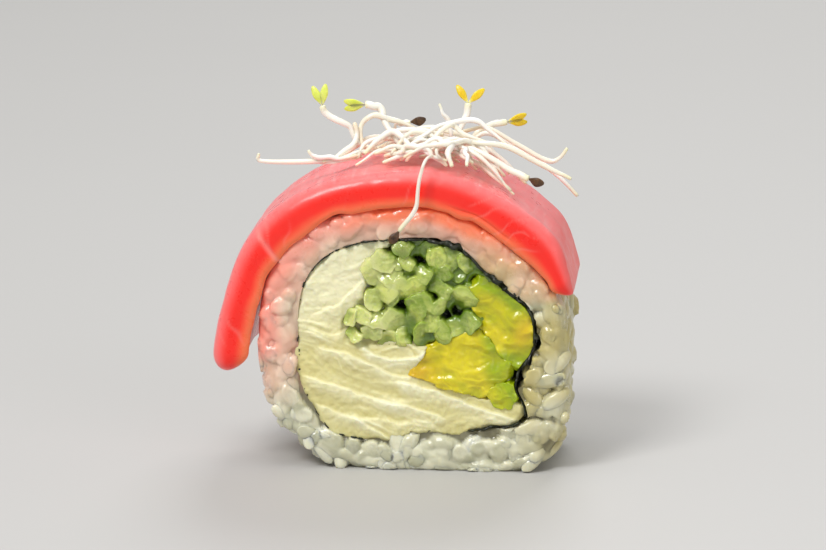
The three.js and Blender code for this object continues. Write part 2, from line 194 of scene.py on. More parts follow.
# closes the two ends of a loft with a point in the middle of each and a fan of triangles
def fanEnds(points):
    rows, around = points.shape[:2]
    j = np.arange(around)
    k = (j + 1) % around
    first = rows * around
    last = (rows - 1) * around
    start = np.stack([first + 0 * j, k, j], -1)
    end = np.stack([first + 1 + 0 * j, last + j, last + k], -1)
    middles = np.stack([points[0].mean(0), points[-1].mean(0)])
    return np.concatenate([points.reshape(-1, 3), middles]), np.concatenate([start, end])


# six times the signed volume, to tell which way the faces point
def signedVolume(points, faces):
    a = points[faces[:, 0]]
    total = 0
    for k in range(1, faces.shape[1] - 1):
        total += np.einsum("ij,ij->", a, np.cross(points[faces[:, k]], points[faces[:, k + 1]]))
    return total


# one mesh object from points and lists of quads and triangles, smooth, with float attributes
def makePiece(name, points, faceSets, material, slot, stands, values=None):
    volume = sum(signedVolume(points, f) for f in faceSets)
    faces = [face for f in faceSets for face in (f if volume > 0 else f[:, ::-1]).tolist()]
    mesh = bpy.data.meshes.new(name)
    mesh.from_pydata((points * mm).tolist(), [], faces)
    mesh.polygons.foreach_set("use_smooth", np.ones(len(faces), bool))
    for key, value in (values or {}).items():
        layer = mesh.attributes.new(key, "FLOAT", "POINT")
        layer.data.foreach_set("value", np.asarray(value, np.float32).ravel())
    mesh.update()
    piece = bpy.data.objects.new(name, mesh)
    bpy.context.scene.collection.objects.link(piece)
    mesh.materials.append(material)
    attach(piece, "root")
    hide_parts(stands)
    return piece


# copies of one small mesh: each copy's points are turned by its three axes and moved to its middle
def copies(points, faceSets, axes, middles):
    placed = np.einsum("vk,nkd->nvd", points, axes) + middles[:, None, :]
    step = np.arange(len(middles))[:, None, None] * len(points)
    return placed, [(f[None] + step).reshape(-1, f.shape[1]) for f in faceSets]


# the float attributes of several sheets, or of several pieces, one after the other
def joinValues(parts):
    return {key: np.concatenate([part[key].ravel() for part in parts]) for key in parts[0]}


# several small meshes as one: points, face lists numbered on, and their attributes
def joinSets(sets):
    step = 0
    faces = []
    for points, faceSets, _ in sets:
        faces += [f + step for f in faceSets]
        step += len(points)
    return np.concatenate([s[0] for s in sets]), faces, joinValues([s[2] for s in sets])


class Tree:
    # a small wrapper that adds and links nodes of one node tree
    def __init__(self, tree):
        self.tree = tree

    def add(self, kind, **settings):
        node = self.tree.nodes.new(kind)
        for key, value in settings.items():
            setattr(node, key, value)
        return node

    def link(self, source, target):
        self.tree.links.new(source, target)

    def put(self, socket, value):
        if isinstance(value, bpy.types.NodeSocket):
            self.link(value, socket)
        else:
            socket.default_value = value

    def attribute(self, name):
        return self.add("ShaderNodeAttribute", attribute_name=name).outputs["Fac"]

    def position(self):
        return self.add("ShaderNodeTexCoord").outputs["Object"]

    def math(self, operation, a, b, clamp=False):
        node = self.add("ShaderNodeMath", operation=operation, use_clamp=clamp)
        self.put(node.inputs[0], a)
        self.put(node.inputs[1], b)
        return node.outputs[0]

    def times(self, a, b):
        return self.math("MULTIPLY", a, b)

    def remap(self, value, low, high, start=0.0, end=1.0):
        node = self.add("ShaderNodeMapRange", interpolation_type="SMOOTHSTEP")
        for socket, v in zip(node.inputs, (value, low, high, start, end)):
            self.put(socket, v)
        return node.outputs["Result"]

    def noise(self, vector, scale, detail=3.0, rough=0.5, distortion=0.0):
        node = self.add("ShaderNodeTexNoise")
        settings = {"Vector": vector, "Scale": scale, "Detail": detail, "Roughness": rough,
                    "Distortion": distortion}
        for key, value in settings.items():
            self.put(node.inputs[key], value)
        return node.outputs["Fac"]

    def stretched(self, scale, turn):
        node = self.add("ShaderNodeMapping")
        for key, value in (("Vector", self.position()), ("Scale", scale), ("Rotation", turn)):
            self.put(node.inputs[key], value)
        return node.outputs["Vector"]

    def colour(self, share, a, b):
        node = self.add("ShaderNodeMix", data_type="RGBA")
        for key, value in (("Factor", share), ("A", a), ("B", b)):
            self.put(node.inputs[key], value)
        return node.outputs["Result"]

    # tones laid over a base one after the other, each by its own share
    def layered(self, base, *layers):
        for share, over in layers:
            base = self.colour(share, base, over)
        return base

    def group(self, tree, **values):
        node = self.add("ShaderNodeGroup", node_tree=tree)
        for key, value in values.items():
            self.put(node.inputs[key], value)
        return node.outputs


# colours below are as seen on a screen, 0 to 255, and are turned to scene-linear here
def tone(red, green, blue):
    c = np.array([red, green, blue]) / 255
    c = np.where(c > 0.04045, ((c + 0.055) / 1.055) ** 2.4, c / 12.92)
    return (*(float(v) for v in c), 1.0)


def tonesOf(part):
    return {key: tone(*value) for key, value in part["tones"].items()}


# a new material whose Principled shader has fixed sockets: roughness, how light goes into the flesh
# (weight, reach by colour, and depth in metres) and the wet coat (weight and roughness)
def newMaterial(name, rough, flesh=(), coat=()):
    material = bpy.data.materials.new(name)
    material.use_nodes = True
    shader = material.node_tree.nodes["Principled BSDF"]
    shader.inputs["Roughness"].default_value = rough
    for keys, values in ((("Subsurface Weight", "Subsurface Radius", "Subsurface Scale"), flesh),
                         (("Coat Weight", "Coat Roughness"), coat)):
        for key, value in zip(keys, values):
            shader.inputs[key].default_value = value
    return material, Tree(material.node_tree), shader


# uneven tone over a wet food surface, as a group: a broad and a fine noise, put out as a mask and as a
# height
def makeMottle():
    tree = bpy.data.node_groups.new("foodMottle", "ShaderNodeTree")
    for key, value in (("Broad", 200.0), ("Fine", 1500.0), ("Contrast", 0.5)):
        tree.interface.new_socket(key, in_out="INPUT", socket_type="NodeSocketFloat").default_value = value
    for key in ("Mask", "Height"):
        tree.interface.new_socket(key, in_out="OUTPUT", socket_type="NodeSocketFloat")
    nodes = Tree(tree)
    given, made = nodes.add("NodeGroupInput").outputs, nodes.add("NodeGroupOutput").inputs
    where = nodes.position()
    broad, fine = (nodes.noise(where, given[key], 4.0) for key in ("Broad", "Fine"))
    both = nodes.math("ADD", nodes.times(broad, 0.65), nodes.times(fine, 0.35))
    centred = nodes.times(nodes.math("SUBTRACT", both, 0.5), nodes.times(given["Contrast"], 4.0))
    nodes.link(nodes.math("ADD", centred, 0.5, clamp=True), made["Mask"])
    nodes.link(both, made["Height"])
    return tree


mottle = makeMottle()


# gives the shader its colour, and a bump made from a height
def finishLook(tree, shader, colour, height, strength, distance):
    node = tree.add("ShaderNodeBump")
    for key, value in (("Strength", strength), ("Distance", distance), ("Height", height)):
        tree.put(node.inputs[key], value)
    tree.link(node.outputs["Normal"], shader.inputs["Normal"])
    tree.link(colour, shader.inputs["Base Color"])


# where the nori is torn or folded double: the peaks of a noise
def tornAt(x, z):
    return np.maximum(0, cloud(x / 2.6, z / 2.6, 0, 73))


# how much thicker the nori is there: on the right only
def tornOnRight(degrees, x, z):
    return tornAt(x, z) * between((degrees + 90) % 360, *spans["thickNori"])


# 1 low on the left, where cheese and rice have closed over the nori's edge, 0 where the nori shows
def closedOver(degrees):
    return between(degrees, *spans["closed"])


print("frame read and helpers made")

rice = {
    "faceRise": 1.4, "sideRise": 1.2,            # how far grains rise above the core on its faces and sides
    "slack": -0.1, "bevel": 1.3,                 # the core's drop under the fish, and its rounded corner
    "length": 5.2, "width": 2.6, "height": 2.3,  # of a cooked grain
    "onFace": 250, "onSide": 340,                # grains on each cut face, and on the bare sides
    "steps": 560, "counts": (6, 24, 7, 85),      # round the roll; inner wall, face, bevel, side
    "melt": 11.0,                                # higher keeps grains apart, lower melts them together
    "loose": 0.34,                               # share of grains that stand proud of the rest
    "wall": 0.72, "closed": 0.3, "thin": 0.32, "torn": 0.9,  # the room left for the nori, and its changes
    "tones": {"grain": (180, 180, 150), "paleGrain": (238, 236, 212), "milk": (212, 211, 184),
              # the darkest tone here is a painted shade for the gaps between grains
              "tan": (194, 180, 110), "wellShade": (104, 98, 66), "juice": (255, 166, 148),
              "orangeJuice": (252, 130, 88)},
}


# 1 where the fish lies on the rice, 0 where the rice is bare
def underFish(degrees):
    right, left = fish["rightEnd"], fish["leftEnd"]
    return between(degrees, right - 4, right + 4, left - 6, left + 4)


# the core's radius: full under the fish, lower by a grain's rise where grains lie on it
def riceCoreRadius(angle):
    degrees = np.degrees(angle) % 360
    return outlineRadius(riceOutline, angle) - mix(rice["sideRise"], rice["slack"], underFish(degrees))


def riceLook():
    material, tree, shader = newMaterial("cookedRice", 0.34, (0.8, (1.0, 0.9, 0.72), 0.0007), (0.5, 0.1))
    t = tonesOf(rice)
    spots = tree.group(mottle, Broad=260.0, Fine=1400.0, Contrast=0.6)
    grain = tree.colour(tree.attribute("shade"), t["grain"], t["paleGrain"])
    juice = tree.colour(tree.attribute("orange"), t["juice"], t["orangeJuice"])
    # the grains are darkened where they sink: painted shade in the gaps between them
    stained = tree.layered(grain, (tree.times(spots["Mask"], 0.4), t["milk"]),
                           (tree.times(tree.attribute("tan"), 0.85), t["tan"]),
                           (tree.times(tree.attribute("wellShade"), 0.8), t["wellShade"]),
                           (tree.attribute("blush"), juice))
    tree.link(tree.remap(spots["Mask"], 0.1, 0.9, 0.24, 0.44), shader.inputs["Roughness"])
    finishLook(tree, shader, stained, spots["Height"], 0.3, 0.0003)
    return material


# how the rice is stained: pink juice from the fish, strongest in the band under it and down the left
# side; orange where that is strongest, at the top; and tan in patches on the right
def stainsAt(points):
    x, y, z = points[..., 0], points[..., 1], points[..., 2]
    degrees = degreesRound(x, z)
    deep = 0.62 * smoothStep(depthInside(riceOutline, x, z), 0.3, 4.2)
    band = underFish(degrees) * (1 - deep) * mix(0.45, 1, smoothStep(degrees, 30, 75))
    leftSide = 0.4 * between(degrees, *spans["juice"])
    uneven = 0.22 * valueNoise(x / 3, y / 3, z / 3, 8) * (band + leftSide > 0.05)
    blush = np.clip(np.maximum(band, leftSide) + uneven, 0, 1)
    right = between(degreesRound(x, z, -90), *spans["tan"])
    return {"blush": blush, "orange": between(x, -13, -4, 10, 16) * smoothStep(blush, 0.5, 0.9),
            "tan": np.clip(right * (0.75 + 0.6 * cloud(x / 4, y / 4, z / 4, 14, 2)), 0, 1)}


# how smeared the rice is: 1 in the band under the fish and on the right shoulder, 0 low down;
# degrees run from -40 up
def smearAt(degrees):
    return between(degrees, *spans["smeared"])


# the bare form under the grains: a section (inner wall, face, rounded corner, side, and back) carried
# round the roll, with the way each point faces
def riceSection():
    wallCount, faceCount, bevelCount, sideCount = rice["counts"]
    angle = np.linspace(0, fullTurn, rice["steps"], endpoint=False)
    degrees = np.degrees(angle) % 360
    c, s = np.cos(angle)[:, None], np.sin(angle)[:, None]
    face, b = slab["half"] - rice["faceRise"], rice["bevel"]
    inner = fillingRadius(angle, rice["wall"]) - rice["closed"] * closedOver(degrees)
    inner = inner - rice["thin"] * between(degrees, *spans["thin"])
    inner = inner + rice["torn"] * tornOnRight(degrees, inner * np.cos(angle), inner * np.sin(angle))
    innerX, innerZ = fromPolar(fillingOutline, angle[:, None], inner[:, None])
    outerX, outerZ = fromPolar(riceOutline, angle[:, None], riceCoreRadius(angle)[:, None] - b)
    t = np.linspace(0, 1, faceCount)
    faceX, faceZ = mix(innerX, outerX, t), mix(innerZ, outerZ, t)
    turn = np.linspace(0, 1, bevelCount + 2)[1:-1] * fullTurn / 4
    bendX, bendZ = outerX + b * np.sin(turn) * c, outerZ + b * np.sin(turn) * s
    along = np.linspace(-1, 1, sideCount)
    sideX, sideZ = outerX + b * c + 0 * along, outerZ + b * s + 0 * along
    wall = np.linspace(1, -1, wallCount + 2)[1:-1]
    x = np.concatenate([faceX, bendX, sideX, bendX[:, ::-1], faceX[:, ::-1], innerX + 0 * wall], 1)
    z = np.concatenate([faceZ, bendZ, sideZ, bendZ[:, ::-1], faceZ[:, ::-1], innerZ + 0 * wall], 1)
    ahead, rising = np.cos(turn), np.sin(turn)
    bendY = face - b + b * ahead
    y = np.concatenate([0 * t - face, -bendY, along * (face - b), bendY[::-1], 0 * t + face, wall * face])
    faceOut = np.concatenate([0 * t - 1, -ahead, 0 * along, ahead[::-1], 0 * t + 1, 0 * wall])
    radial = np.concatenate([0 * t, rising, 0 * along + 1, rising[::-1], 0 * t, 0 * wall - 1])
    one = np.ones((len(angle), 1))
    return np.stack([x, y * one, z], -1), np.stack([radial * c, faceOut * one, radial * s], -1)


# how far the grains rise above a surface: each grain is an egg with its own axes; a point's rise is
# the way along the surface's normal to the egg's far side; rises are blended by the logarithm of a
# sum of exponentials, so that touching grains melt together
def grainRise(points, normals, middles, axes, tones):
    total = np.ones(len(points))
    tinted = 0.35 * total
    for middle, turned, value in zip(middles, axes, tones):
        near = np.flatnonzero(((points - middle) ** 2).sum(1) < (0.62 * rice["length"]) ** 2)
        p = (points[near] - middle) @ turned.T
        n = normals[near] @ turned.T
        a, b, c = (n * n).sum(1), (p * n).sum(1), (p * p).sum(1) - 1
        inside = b * b - a * c
        rise = (-b + np.sqrt(np.maximum(inside, 0))) / a
        share = np.exp(rice["melt"] * np.clip(rise, -1, 1.6)) * smoothStep(inside, 0, 0.25 * a)
        total[near] += share
        tinted[near] += share * value
    return np.log(total) / rice["melt"], tinted / total


# axes of grains lying along way with their flat side across out
def grainAxes(way, out, size):
    side = np.cross(out, way)
    side /= np.linalg.norm(side, axis=1)[:, None]
    way = np.cross(side, out)
    return np.stack([way * size[:, None], side * size[:, None], out * size[:, None]], 1)


# grains on both cut faces: spread evenly over the ring by the golden ratio, in any direction, so that
# the knife shows some whole and some cut across
def faceGrainPlaces():
    sets = []
    for side in (-1, 1):
        i = np.arange(rice["onFace"])
        n = i + 1000 * (side + 2)
        angle = (i * goldenShare % 1 + 0.01 * draw(n)) * fullTurn
        share = (i * secondShare + draw(n + 0.5) * 0.3) % 1
        innerX, innerZ = fromPolar(fillingOutline, angle, fillingRadius(angle, 1.0) + 0.9)
        outerX, outerZ = fromPolar(riceOutline, angle, outlineRadius(riceOutline, angle) - 1.3)
        calm = smearAt((np.degrees(angle) + 40) % 360 - 40)
        y = side * (slab["half"] - mix(1.1, 2.3, draw(n + 2)) - 0.45 * calm)
        heading = angle + fullTurn / 4 + (draw(n + 3) - 0.5) * 2.4
        tilt = (draw(n + 4) - 0.5) * 1.9
        across, up = np.cos(heading), np.sin(heading)
        way = np.stack([across * np.cos(tilt), np.sin(tilt), up * np.cos(tilt)], -1)
        out = np.stack([-across * np.sin(tilt), np.cos(tilt), -up * np.sin(tilt)], -1) * side
        sets.append((np.stack([mix(innerX, outerX, share), y, mix(innerZ, outerZ, share)], -1), way, out, n))
    return [np.concatenate(group) for group in zip(*sets)]


# grains on the bare sides and the underside, lying flat on the core in any direction
def sideGrainPlaces():
    i = np.arange(rice["onSide"])
    n = i + 5000
    angle = np.radians(mix(fish["leftEnd"] - 3, 360 + fish["rightEnd"] + 2, i * goldenShare % 1))
    x, z = fromPolar(riceOutline, angle, riceCoreRadius(angle) + mix(-0.95, -0.15, draw(n)))
    y = mix(-1, 1, (i * secondShare + 0.1 * draw(n + 1)) % 1) * (slab["half"] - 1.3)
    lean = ((draw(n + 2) - 0.5) * math.pi)[:, None]
    dip = ((draw(n + 4) - 0.5) * 0.5)[:, None]
    out = np.stack([np.cos(angle), 0 * angle, np.sin(angle)], -1)
    roundWay = np.stack([-np.sin(angle), 0 * angle, np.cos(angle)], -1)
    way = np.sin(lean) * roundWay + np.cos(lean) * np.array([0, 1, 0])
    tipped = way * np.cos(dip) + out * np.sin(dip)
    return np.stack([x, y, z], -1), tipped, out * np.cos(dip) - way * np.sin(dip), n


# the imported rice: the section raised by its grains, less where it is smeared, with fine unevenness
def makeRiceBed(material, middles, way, out, n):
    base, normals = riceSection()
    flat, facing = base.reshape(-1, 3), normals.reshape(-1, 3)
    half = 0.5 * np.array([rice["length"], rice["width"], rice["height"]])
    axes = grainAxes(way, out, 1 / mix(0.86, 1.08, draw(n + 7))) / half[:, None]
    rise, shade = grainRise(flat, facing, middles, axes, draw(n + 10))
    degrees = degreesRound(flat[:, 0], flat[:, 2], -40)
    calm = smearAt(degrees)
    onFace = np.abs(facing[:, 1])
    angle = np.radians(degrees)
    outward = np.maximum(0, facing[:, 0] * np.cos(angle) + facing[:, 2] * np.sin(angle))
    free = np.maximum(onFace, outward * (1 - underFish(degrees % 360)))
    rise = mix(rise, 0.5 + 0.5 * rise, calm)
    highest = rice["faceRise"] - 0.12 + 0.14 * valueNoise(*(flat / 2.4).T, 6)
    rise = np.where(onFace > 0.5, softLimit(rise, highest, 9), rise) + 0.07 * cloud(*(flat / 0.8).T, 7, 2)
    points = flat + facing * (rise * free)[:, None]
    points[:, 2] = np.maximum(points[:, 2], 0)
    # darker where the grains sink below their tops: painted shade in the gaps, less where smeared
    wellShade = (1 - smoothStep(rise, 0.0, 0.5)) * free * mix(1, 0.5, calm)
    faces = [skinFaces(*base.shape[:2], joined=True)]
    values = {"shade": shade, "wellShade": wellShade, **stainsAt(points)}
    makePiece("riceBed", points, faces, material, "rice", "rice", values)


# one grain: an egg of revolution along X, slightly flattened and with a shallow bend
def grainShape(rings=9, around=10):
    t = np.linspace(0.06, 0.94, rings) * math.pi
    v = np.linspace(0, fullTurn, around, endpoint=False)
    profile = (np.sin(t) ** 0.82)[:, None]
    x = -np.cos(t)[:, None] + 0 * v
    z = profile * np.sin(v) - 0.08 * (1 - x ** 2)
    points = 0.5 * np.stack([x * rice["length"], profile * np.cos(v) * rice["width"], z * rice["height"]], -1)
    closed, fans = fanEnds(points)
    return closed, [skinFaces(rings, around), fans]


# grains that stand proud, pressed flat where they meet the knife, the table, the nori or the mat
def makeLooseGrains(material, middles, way, out, n):
    degrees = degreesRound(middles[:, 0], middles[:, 2], -40)
    kept = draw(n + 20) < rice["loose"] * (1 - smearAt(degrees))
    middles, way, out, n = middles[kept], way[kept], out[kept], n[kept]
    shape, faceSets = grainShape()
    lifted = middles + out * mix(0.1, 0.6, draw(n + 21))[:, None]
    points, faces = copies(shape, faceSets, grainAxes(way, out, mix(0.78, 1.0, draw(n + 7))), lifted)
    y = points[..., 1]
    points[..., 1] = np.sign(y) * softLimit(np.abs(y), slab["half"] - 0.3 * draw(n + 8)[:, None], 8)
    angle, r = toPolar(fillingOutline, points[..., 0], points[..., 2])
    x, z = fromPolar(fillingOutline, angle, np.maximum(r, fillingRadius(angle, 0.85)))
    angle, r = toPolar(riceOutline, x, z)
    x, z = fromPolar(riceOutline, angle, np.minimum(r, outlineRadius(riceOutline, angle, 0.2)))
    flat = np.stack([x, points[..., 1], np.maximum(z, 0.25 * draw(n + 9)[:, None])], -1).reshape(-1, 3)
    values = {"shade": np.repeat(draw(n + 10), len(shape)), "wellShade": np.zeros(len(flat)), **stainsAt(flat)}
    makePiece("riceGrains", flat, faces, material, "rice", "rice", values)


wetRice = riceLook()
grainPlaces = [np.concatenate(pair) for pair in zip(faceGrainPlaces(), sideGrainPlaces())]
makeRiceBed(wetRice, *grainPlaces)
makeLooseGrains(wetRice, *grainPlaces)
print("rice made")

tuna = {
    "steps": 320, "cross": (34, 12, 20, 9),          # along the slice; round its section, side by side
    "upper": 2.3, "lower": 0.8, "shrink": 0.12,      # its rounded corners, and how far it stays inside
    "wave": 0.24, "sag": 0.6,                        # low waves, and its droop beyond the rice
    "creaseAt": 149, "redEnd": (26, 46),             # in degrees round the roll
    # the pale tone lightens the cut face towards its upper edge: a painted sheen
    "tones": {"riceSide": (255, 128, 80), "core": (255, 34, 22), "pale": (255, 118, 116),
              # the upper tones are the upper side's pink, lightened to stand for its sheen: partly painted
              # sheen
              "upper": (255, 110, 112), "paleUpper": (255, 156, 158), "streak": (255, 192, 190),
              "end": (255, 62, 50), "patch": (255, 96, 84), "crease": (253, 168, 158)},
}


# half of a round-cornered slab section as one loop: places along Y and across; corners gives the
# radius of the two upper and the two lower corners
def slabLoop(halfY, halfR, corners, counts):
    arcs = []
    for k, (sy, sr) in enumerate(((1, 1), (-1, 1), (-1, -1), (1, -1))):
        c = np.minimum(corners[k // 2], halfR * 0.95)[:, None]
        a = (k + np.linspace(0, 1, counts[1])) * fullTurn / 4
        arcs.append((sy * (halfY[:, None] - c) + c * np.cos(a), sr * (halfR[:, None] - c) + c * np.sin(a)))
    loop = []
    for k, arc in enumerate(arcs):
        t = np.linspace(0, 1, counts[0 if k % 2 == 0 else 2] + 2)[1:-1]
        after = arcs[(k + 1) % 4]
        loop.append([np.concatenate([v, mix(v[:, -1:], w[:, :1], t)], 1) for v, w in zip(arc, after)])
    return np.concatenate([v for v, _ in loop], 1), np.concatenate([v for _, v in loop], 1)


def tunaLook():
    material, tree, shader = newMaterial("rawTuna", 0.3, (0.2, (1.0, 0.25, 0.18), 0.0018), (0.15, 0.22))
    shader.inputs["Specular IOR Level"].default_value = 0.35
    t = tonesOf(tuna)
    share = tree.attribute("share")      # 0 on the rice side, 1 on the upper side
    cutFace = tree.attribute("cutFace")  # 1 on the two cut faces
    spots = tree.group(mottle, Broad=110.0, Fine=900.0, Contrast=0.5)
    low = tree.colour(tree.remap(share, 0.02, 0.38), t["riceSide"], t["core"])
    # the cut face turns pale towards its upper edge: a painted sheen
    face = tree.colour(tree.remap(share, 0.5, 0.98), low, t["pale"])
    fibres = tree.noise(tree.stretched((900, 110, 900), (0.0, 0.5, 0.65)), 1.0, 3.0, 0.6, 0.6)
    # the upper side's pink, partly a painted sheen
    upper = tree.colour(spots["Mask"], t["upper"], t["paleUpper"])
    flesh = tree.layered(upper, (tree.times(tree.remap(fibres, 0.46, 0.72), 0.4), t["streak"]),
                         (tree.times(tree.attribute("end"), 0.85), t["end"]), (cutFace, face),
                         (tree.times(spots["Mask"], 0.18), t["patch"]),
                         (tree.times(tree.attribute("crease"), 0.5), t["crease"]))
    tree.link(tree.remap(spots["Mask"], 0.1, 0.9, 0.24, 0.42), shader.inputs["Roughness"])
    finishLook(tree, shader, flesh, tree.noise(tree.position(), 420.0, 1.0, 0.4), 0.25, 0.0004)
    return material


# the slice of fish: a round-cornered slab section carried round the rice from end to end, its ends
# rounded off as a quarter circle, with low waves from noise, fine sinews, a crease and a crack
def makeTuna():
    t = np.linspace(0, 1, tuna["steps"])
    t = mix((1 - np.cos(t * math.pi)) / 2, t, 0.6)
    degrees = mix(fish["leftEnd"], fish["rightEnd"], t)
    length = riceOutline["halfWidth"] * math.radians(fish["leftEnd"] - fish["rightEnd"])
    lost = 1 - np.minimum(1, (length * np.minimum(t, 1 - t) + 0.05) / fish["round"])
    swell = np.sqrt(np.maximum(0.0, 1 - lost * lost))
    half = fishDepth(degrees) / 2
    halfR = half * swell - tuna["shrink"] * swell
    halfY = fish["halfDepth"] * mix(0.8, 1, swell) - tuna["shrink"]
    y, across = slabLoop(halfY, halfR, (tuna["upper"], tuna["lower"]), tuna["cross"])
    share = 0.5 + 0.5 * across / np.maximum(halfR, 0.01)[:, None]
    angle, row = np.radians(degrees)[:, None], degrees[:, None]
    x, z = fromPolar(riceOutline, angle, (fishInner(degrees) + half)[:, None] + across)
    cutFace = smoothStep(np.abs(y), fish["halfDepth"] - 2.6, fish["halfDepth"] - 0.25)
    shown = cutFace * (y < 0)
    wave = cloud(x / 6, y / 6, z / 6, 21)
    crease = bell(row - tuna["creaseAt"] + 5 * share, 0.9) * shown
    line = row * 0.13 + 1.6 * share + 0.5 * valueNoise(x / 3, y / 3, z / 3, 17)
    sinew = bell(line - np.floor(line) - 0.5, 0.07) * smoothStep(valueNoise(x / 5, 0, z / 5, 18), -0.2, 0.5)
    crack = bell(share - 0.2 - 0.05 * wave, 0.035) * between(row, *spans["crack"]) * shown
    inward = tuna["wave"] * (0.5 + 0.5 * wave)
    y = y - np.sign(y) * cutFace * (inward + 0.25 * crease + 0.22 * crack + 0.05 * sinew)
    lower = 0.3 * valueNoise(x / 2.2, y / 5, z / 2.2, 4)
    sag = tuna["sag"] * smoothStep(np.abs(y), 8.0, 10.6) * (0.8 + 0.5 * valueNoise(x / 4, 0, z / 4, 5))
    drop = (lower * cutFace - sag) * np.clip(1 - 1.6 * share, 0, 1) - inward * smoothStep(share, 0.35, 0.9)
    x = x + drop * np.cos(angle) * swell[:, None]
    z = z + drop * np.sin(angle) * swell[:, None]
    points, fans = fanEnds(np.stack([x, y, z], -1))
    flat = {"share": share, "cutFace": cutFace, "crease": np.clip(crease + 0.45 * sinew * cutFace, 0, 1),
            "end": 1 - smoothStep(row, *tuna["redEnd"]) + 0 * share}
    values = {key: np.concatenate([v.ravel(), [0.5, 0.5]]) for key, v in flat.items()}
    makePiece("tunaSlice", points, [skinFaces(*x.shape), fans], tunaLook(), "tuna", "tuna", values)


makeTuna()
print("tuna made")


# a grid over a disc with no crowding at its middle: squares of side k hold radius k, stretched so
# that each square becomes a circle; gives the angle and the share of the radius
def discGrid(count):
    u, v = np.meshgrid(np.linspace(-1, 1, count), np.linspace(-1, 1, count), indexing="ij")
    wide = np.abs(u) > np.abs(v)
    r = np.where(wide, u, v)
    safe = np.where(r == 0, 1, r)
    phi = np.where(wide, (math.pi / 4) * v / safe, math.pi / 2 - (math.pi / 4) * u / safe)
    return np.arctan2(r * np.sin(phi), r * np.cos(phi)), np.abs(r)


# front and back sheets of a filled outline, joined round their shared rim
def twoSheets(front, back):
    count = front.shape[0]
    i, j = np.meshgrid(np.arange(count - 1), np.arange(count - 1), indexing="ij")
    a = (i * count + j).ravel()
    sheet = np.stack([a, a + count, a + count + 1, a + 1], -1)
    top, right = np.arange(count), np.arange(1, count) * count + count - 1
    bottom, left = (count - 1) * count + np.arange(count - 2, -1, -1), np.arange(count - 2, 0, -1) * count
    rim = np.concatenate([top, right, bottom, left])
    other = np.roll(rim, -1)
    size = count * count
    wall = np.stack([rim, other, other + size, rim + size], -1)
    points = np.concatenate([front.reshape(-1, 3), back.reshape(-1, 3)])
    return points, [np.concatenate([sheet, sheet[:, ::-1] + size, wall])]


avocado = {
    "grid": 110, "rough": 0.8,  # points across a sheet, and how rough the cut is
    # pieces as seen on the cut: a middle, and corners as x and z round it
    "wedge": ((7.2, 14.8), [(-0.8, 13.8), (2.0, 18.2), (4.6, 20.0), (9.4, 21.2), (13.2, 18.9), (14.2, 16.2),
                            (14.0, 13.6), (12.6, 11.3), (9.6, 10.1), (5.0, 11.9)]),
    "chunk": ((12.7, 10.9), [(10.2, 11.3), (12.0, 13.3), (14.4, 13.0), (15.2, 10.8), (13.9, 9.1),
                            (11.6, 9.4)]),
    "strip": ((12.4, 22.8), [(7.4, 27.6), (9.2, 29.5), (12.0, 29.6), (15.6, 26.2), (18.0, 22.4), (18.2, 19.0),
                             (17.0, 15.8), (13.6, 15.4), (10.9, 19.0), (9.2, 21.3), (8.2, 23.9)]),
    "tones": {"flesh": (214, 200, 4), "paleFlesh": (232, 218, 44), "rind": (158, 180, 10),
              # the hollow tone darkens the dents of the cut face: painted shade
              "warm": (238, 184, 40), "hollow": (150, 158, 8)},
}


# distance from a middle to a closed line of straight edges through the corners, for each angle
def cornersRadius(middle, corners, angle):
    p = np.array(corners + corners[:1]) - middle
    t = np.linspace(0, len(corners), 40 * len(corners), endpoint=False)
    i = t.astype(int)
    x, z = mix(p[i], p[i + 1], (t - i)[:, None]).T
    return np.interp(angle, np.arctan2(z, x), np.hypot(x, z), period=fullTurn)


# how far (x, z) is inside a piece of avocado: negative outside it
def depthInCorners(part, x, z):
    middle, corners = avocado[part]
    dx, dz = x - middle[0], z - middle[1]
    return cornersRadius(middle, corners, np.arctan2(dz, dx)) - np.hypot(dx, dz)


cream = {
    "grid": 220,                                         # points across the sheet
    "smear": 0.45, "ridge": 0.95,                        # its low waves, and how high the flakes stand
    # where the cheese is sunk its tone is darkened: painted shade
    "pocket": 3.0, "lip": 0.7,                           # its depth under other fillings, and the slope's width
    "over": 0.34, "overClosed": 0.66, "overThin": 0.24,  # how far it reaches over the nori's edge
    "hollow": {"x": 15.2, "z": 12.6, "halfWidth": 1.5, "above": 3.2, "below": 3.0, "turn": 10,
               "full": (2,) * 4},
    "flakes": [(3.3, 0.6, 2), (1.5, 0.25, 7), (0.7, 0.07, 11)],  # width, height and seed of each size
    # lines along which the knife left a fold, as x and z, with its height and how far it tails off
    "folds": [
        ([-2.6, 2.0, 6.5, 11.0, 15.2], [12.9, 12.0, 10.4, 8.9, 7.6], 0.62, 1.5),
        ([-8.8, -6.5, -3.4, 0.2, 3.0], [19.6, 17.2, 15.9, 16.4, 18.0], 0.62, 1.1),
        ([-15.0, -10.8, -6.4], [22.0, 24.2, 28.2], 0.42, 1.7),
        ([-14.4, -8.5, -3.2, 0.6], [17.9, 16.6, 14.0, 13.4], 0.45, 1.5),
        ([-16.2, -10.8, -5.9, -0.6, 5.0], [13.6, 12.0, 10.4, 9.2, 7.4], 0.5, 1.4),
        ([-14.8, -9.4, -4.0], [9.4, 7.7, 7.0], 0.4, 1.2),
        ([-15.6, -12.0, -8.0], [20.2, 19.6, 20.6], 0.3, 1.0),
    ],
    # the ridge tone lightens the flakes and folds: a painted highlight
    "tones": {"cheese": (228, 219, 150), "paleCheese": (238, 232, 176), "ridge": (250, 248, 220),
              # the valley tone darkens the ground between the flakes: painted shade
              "valley": (196, 184, 112), "pocket": (52, 66, 14)},
}


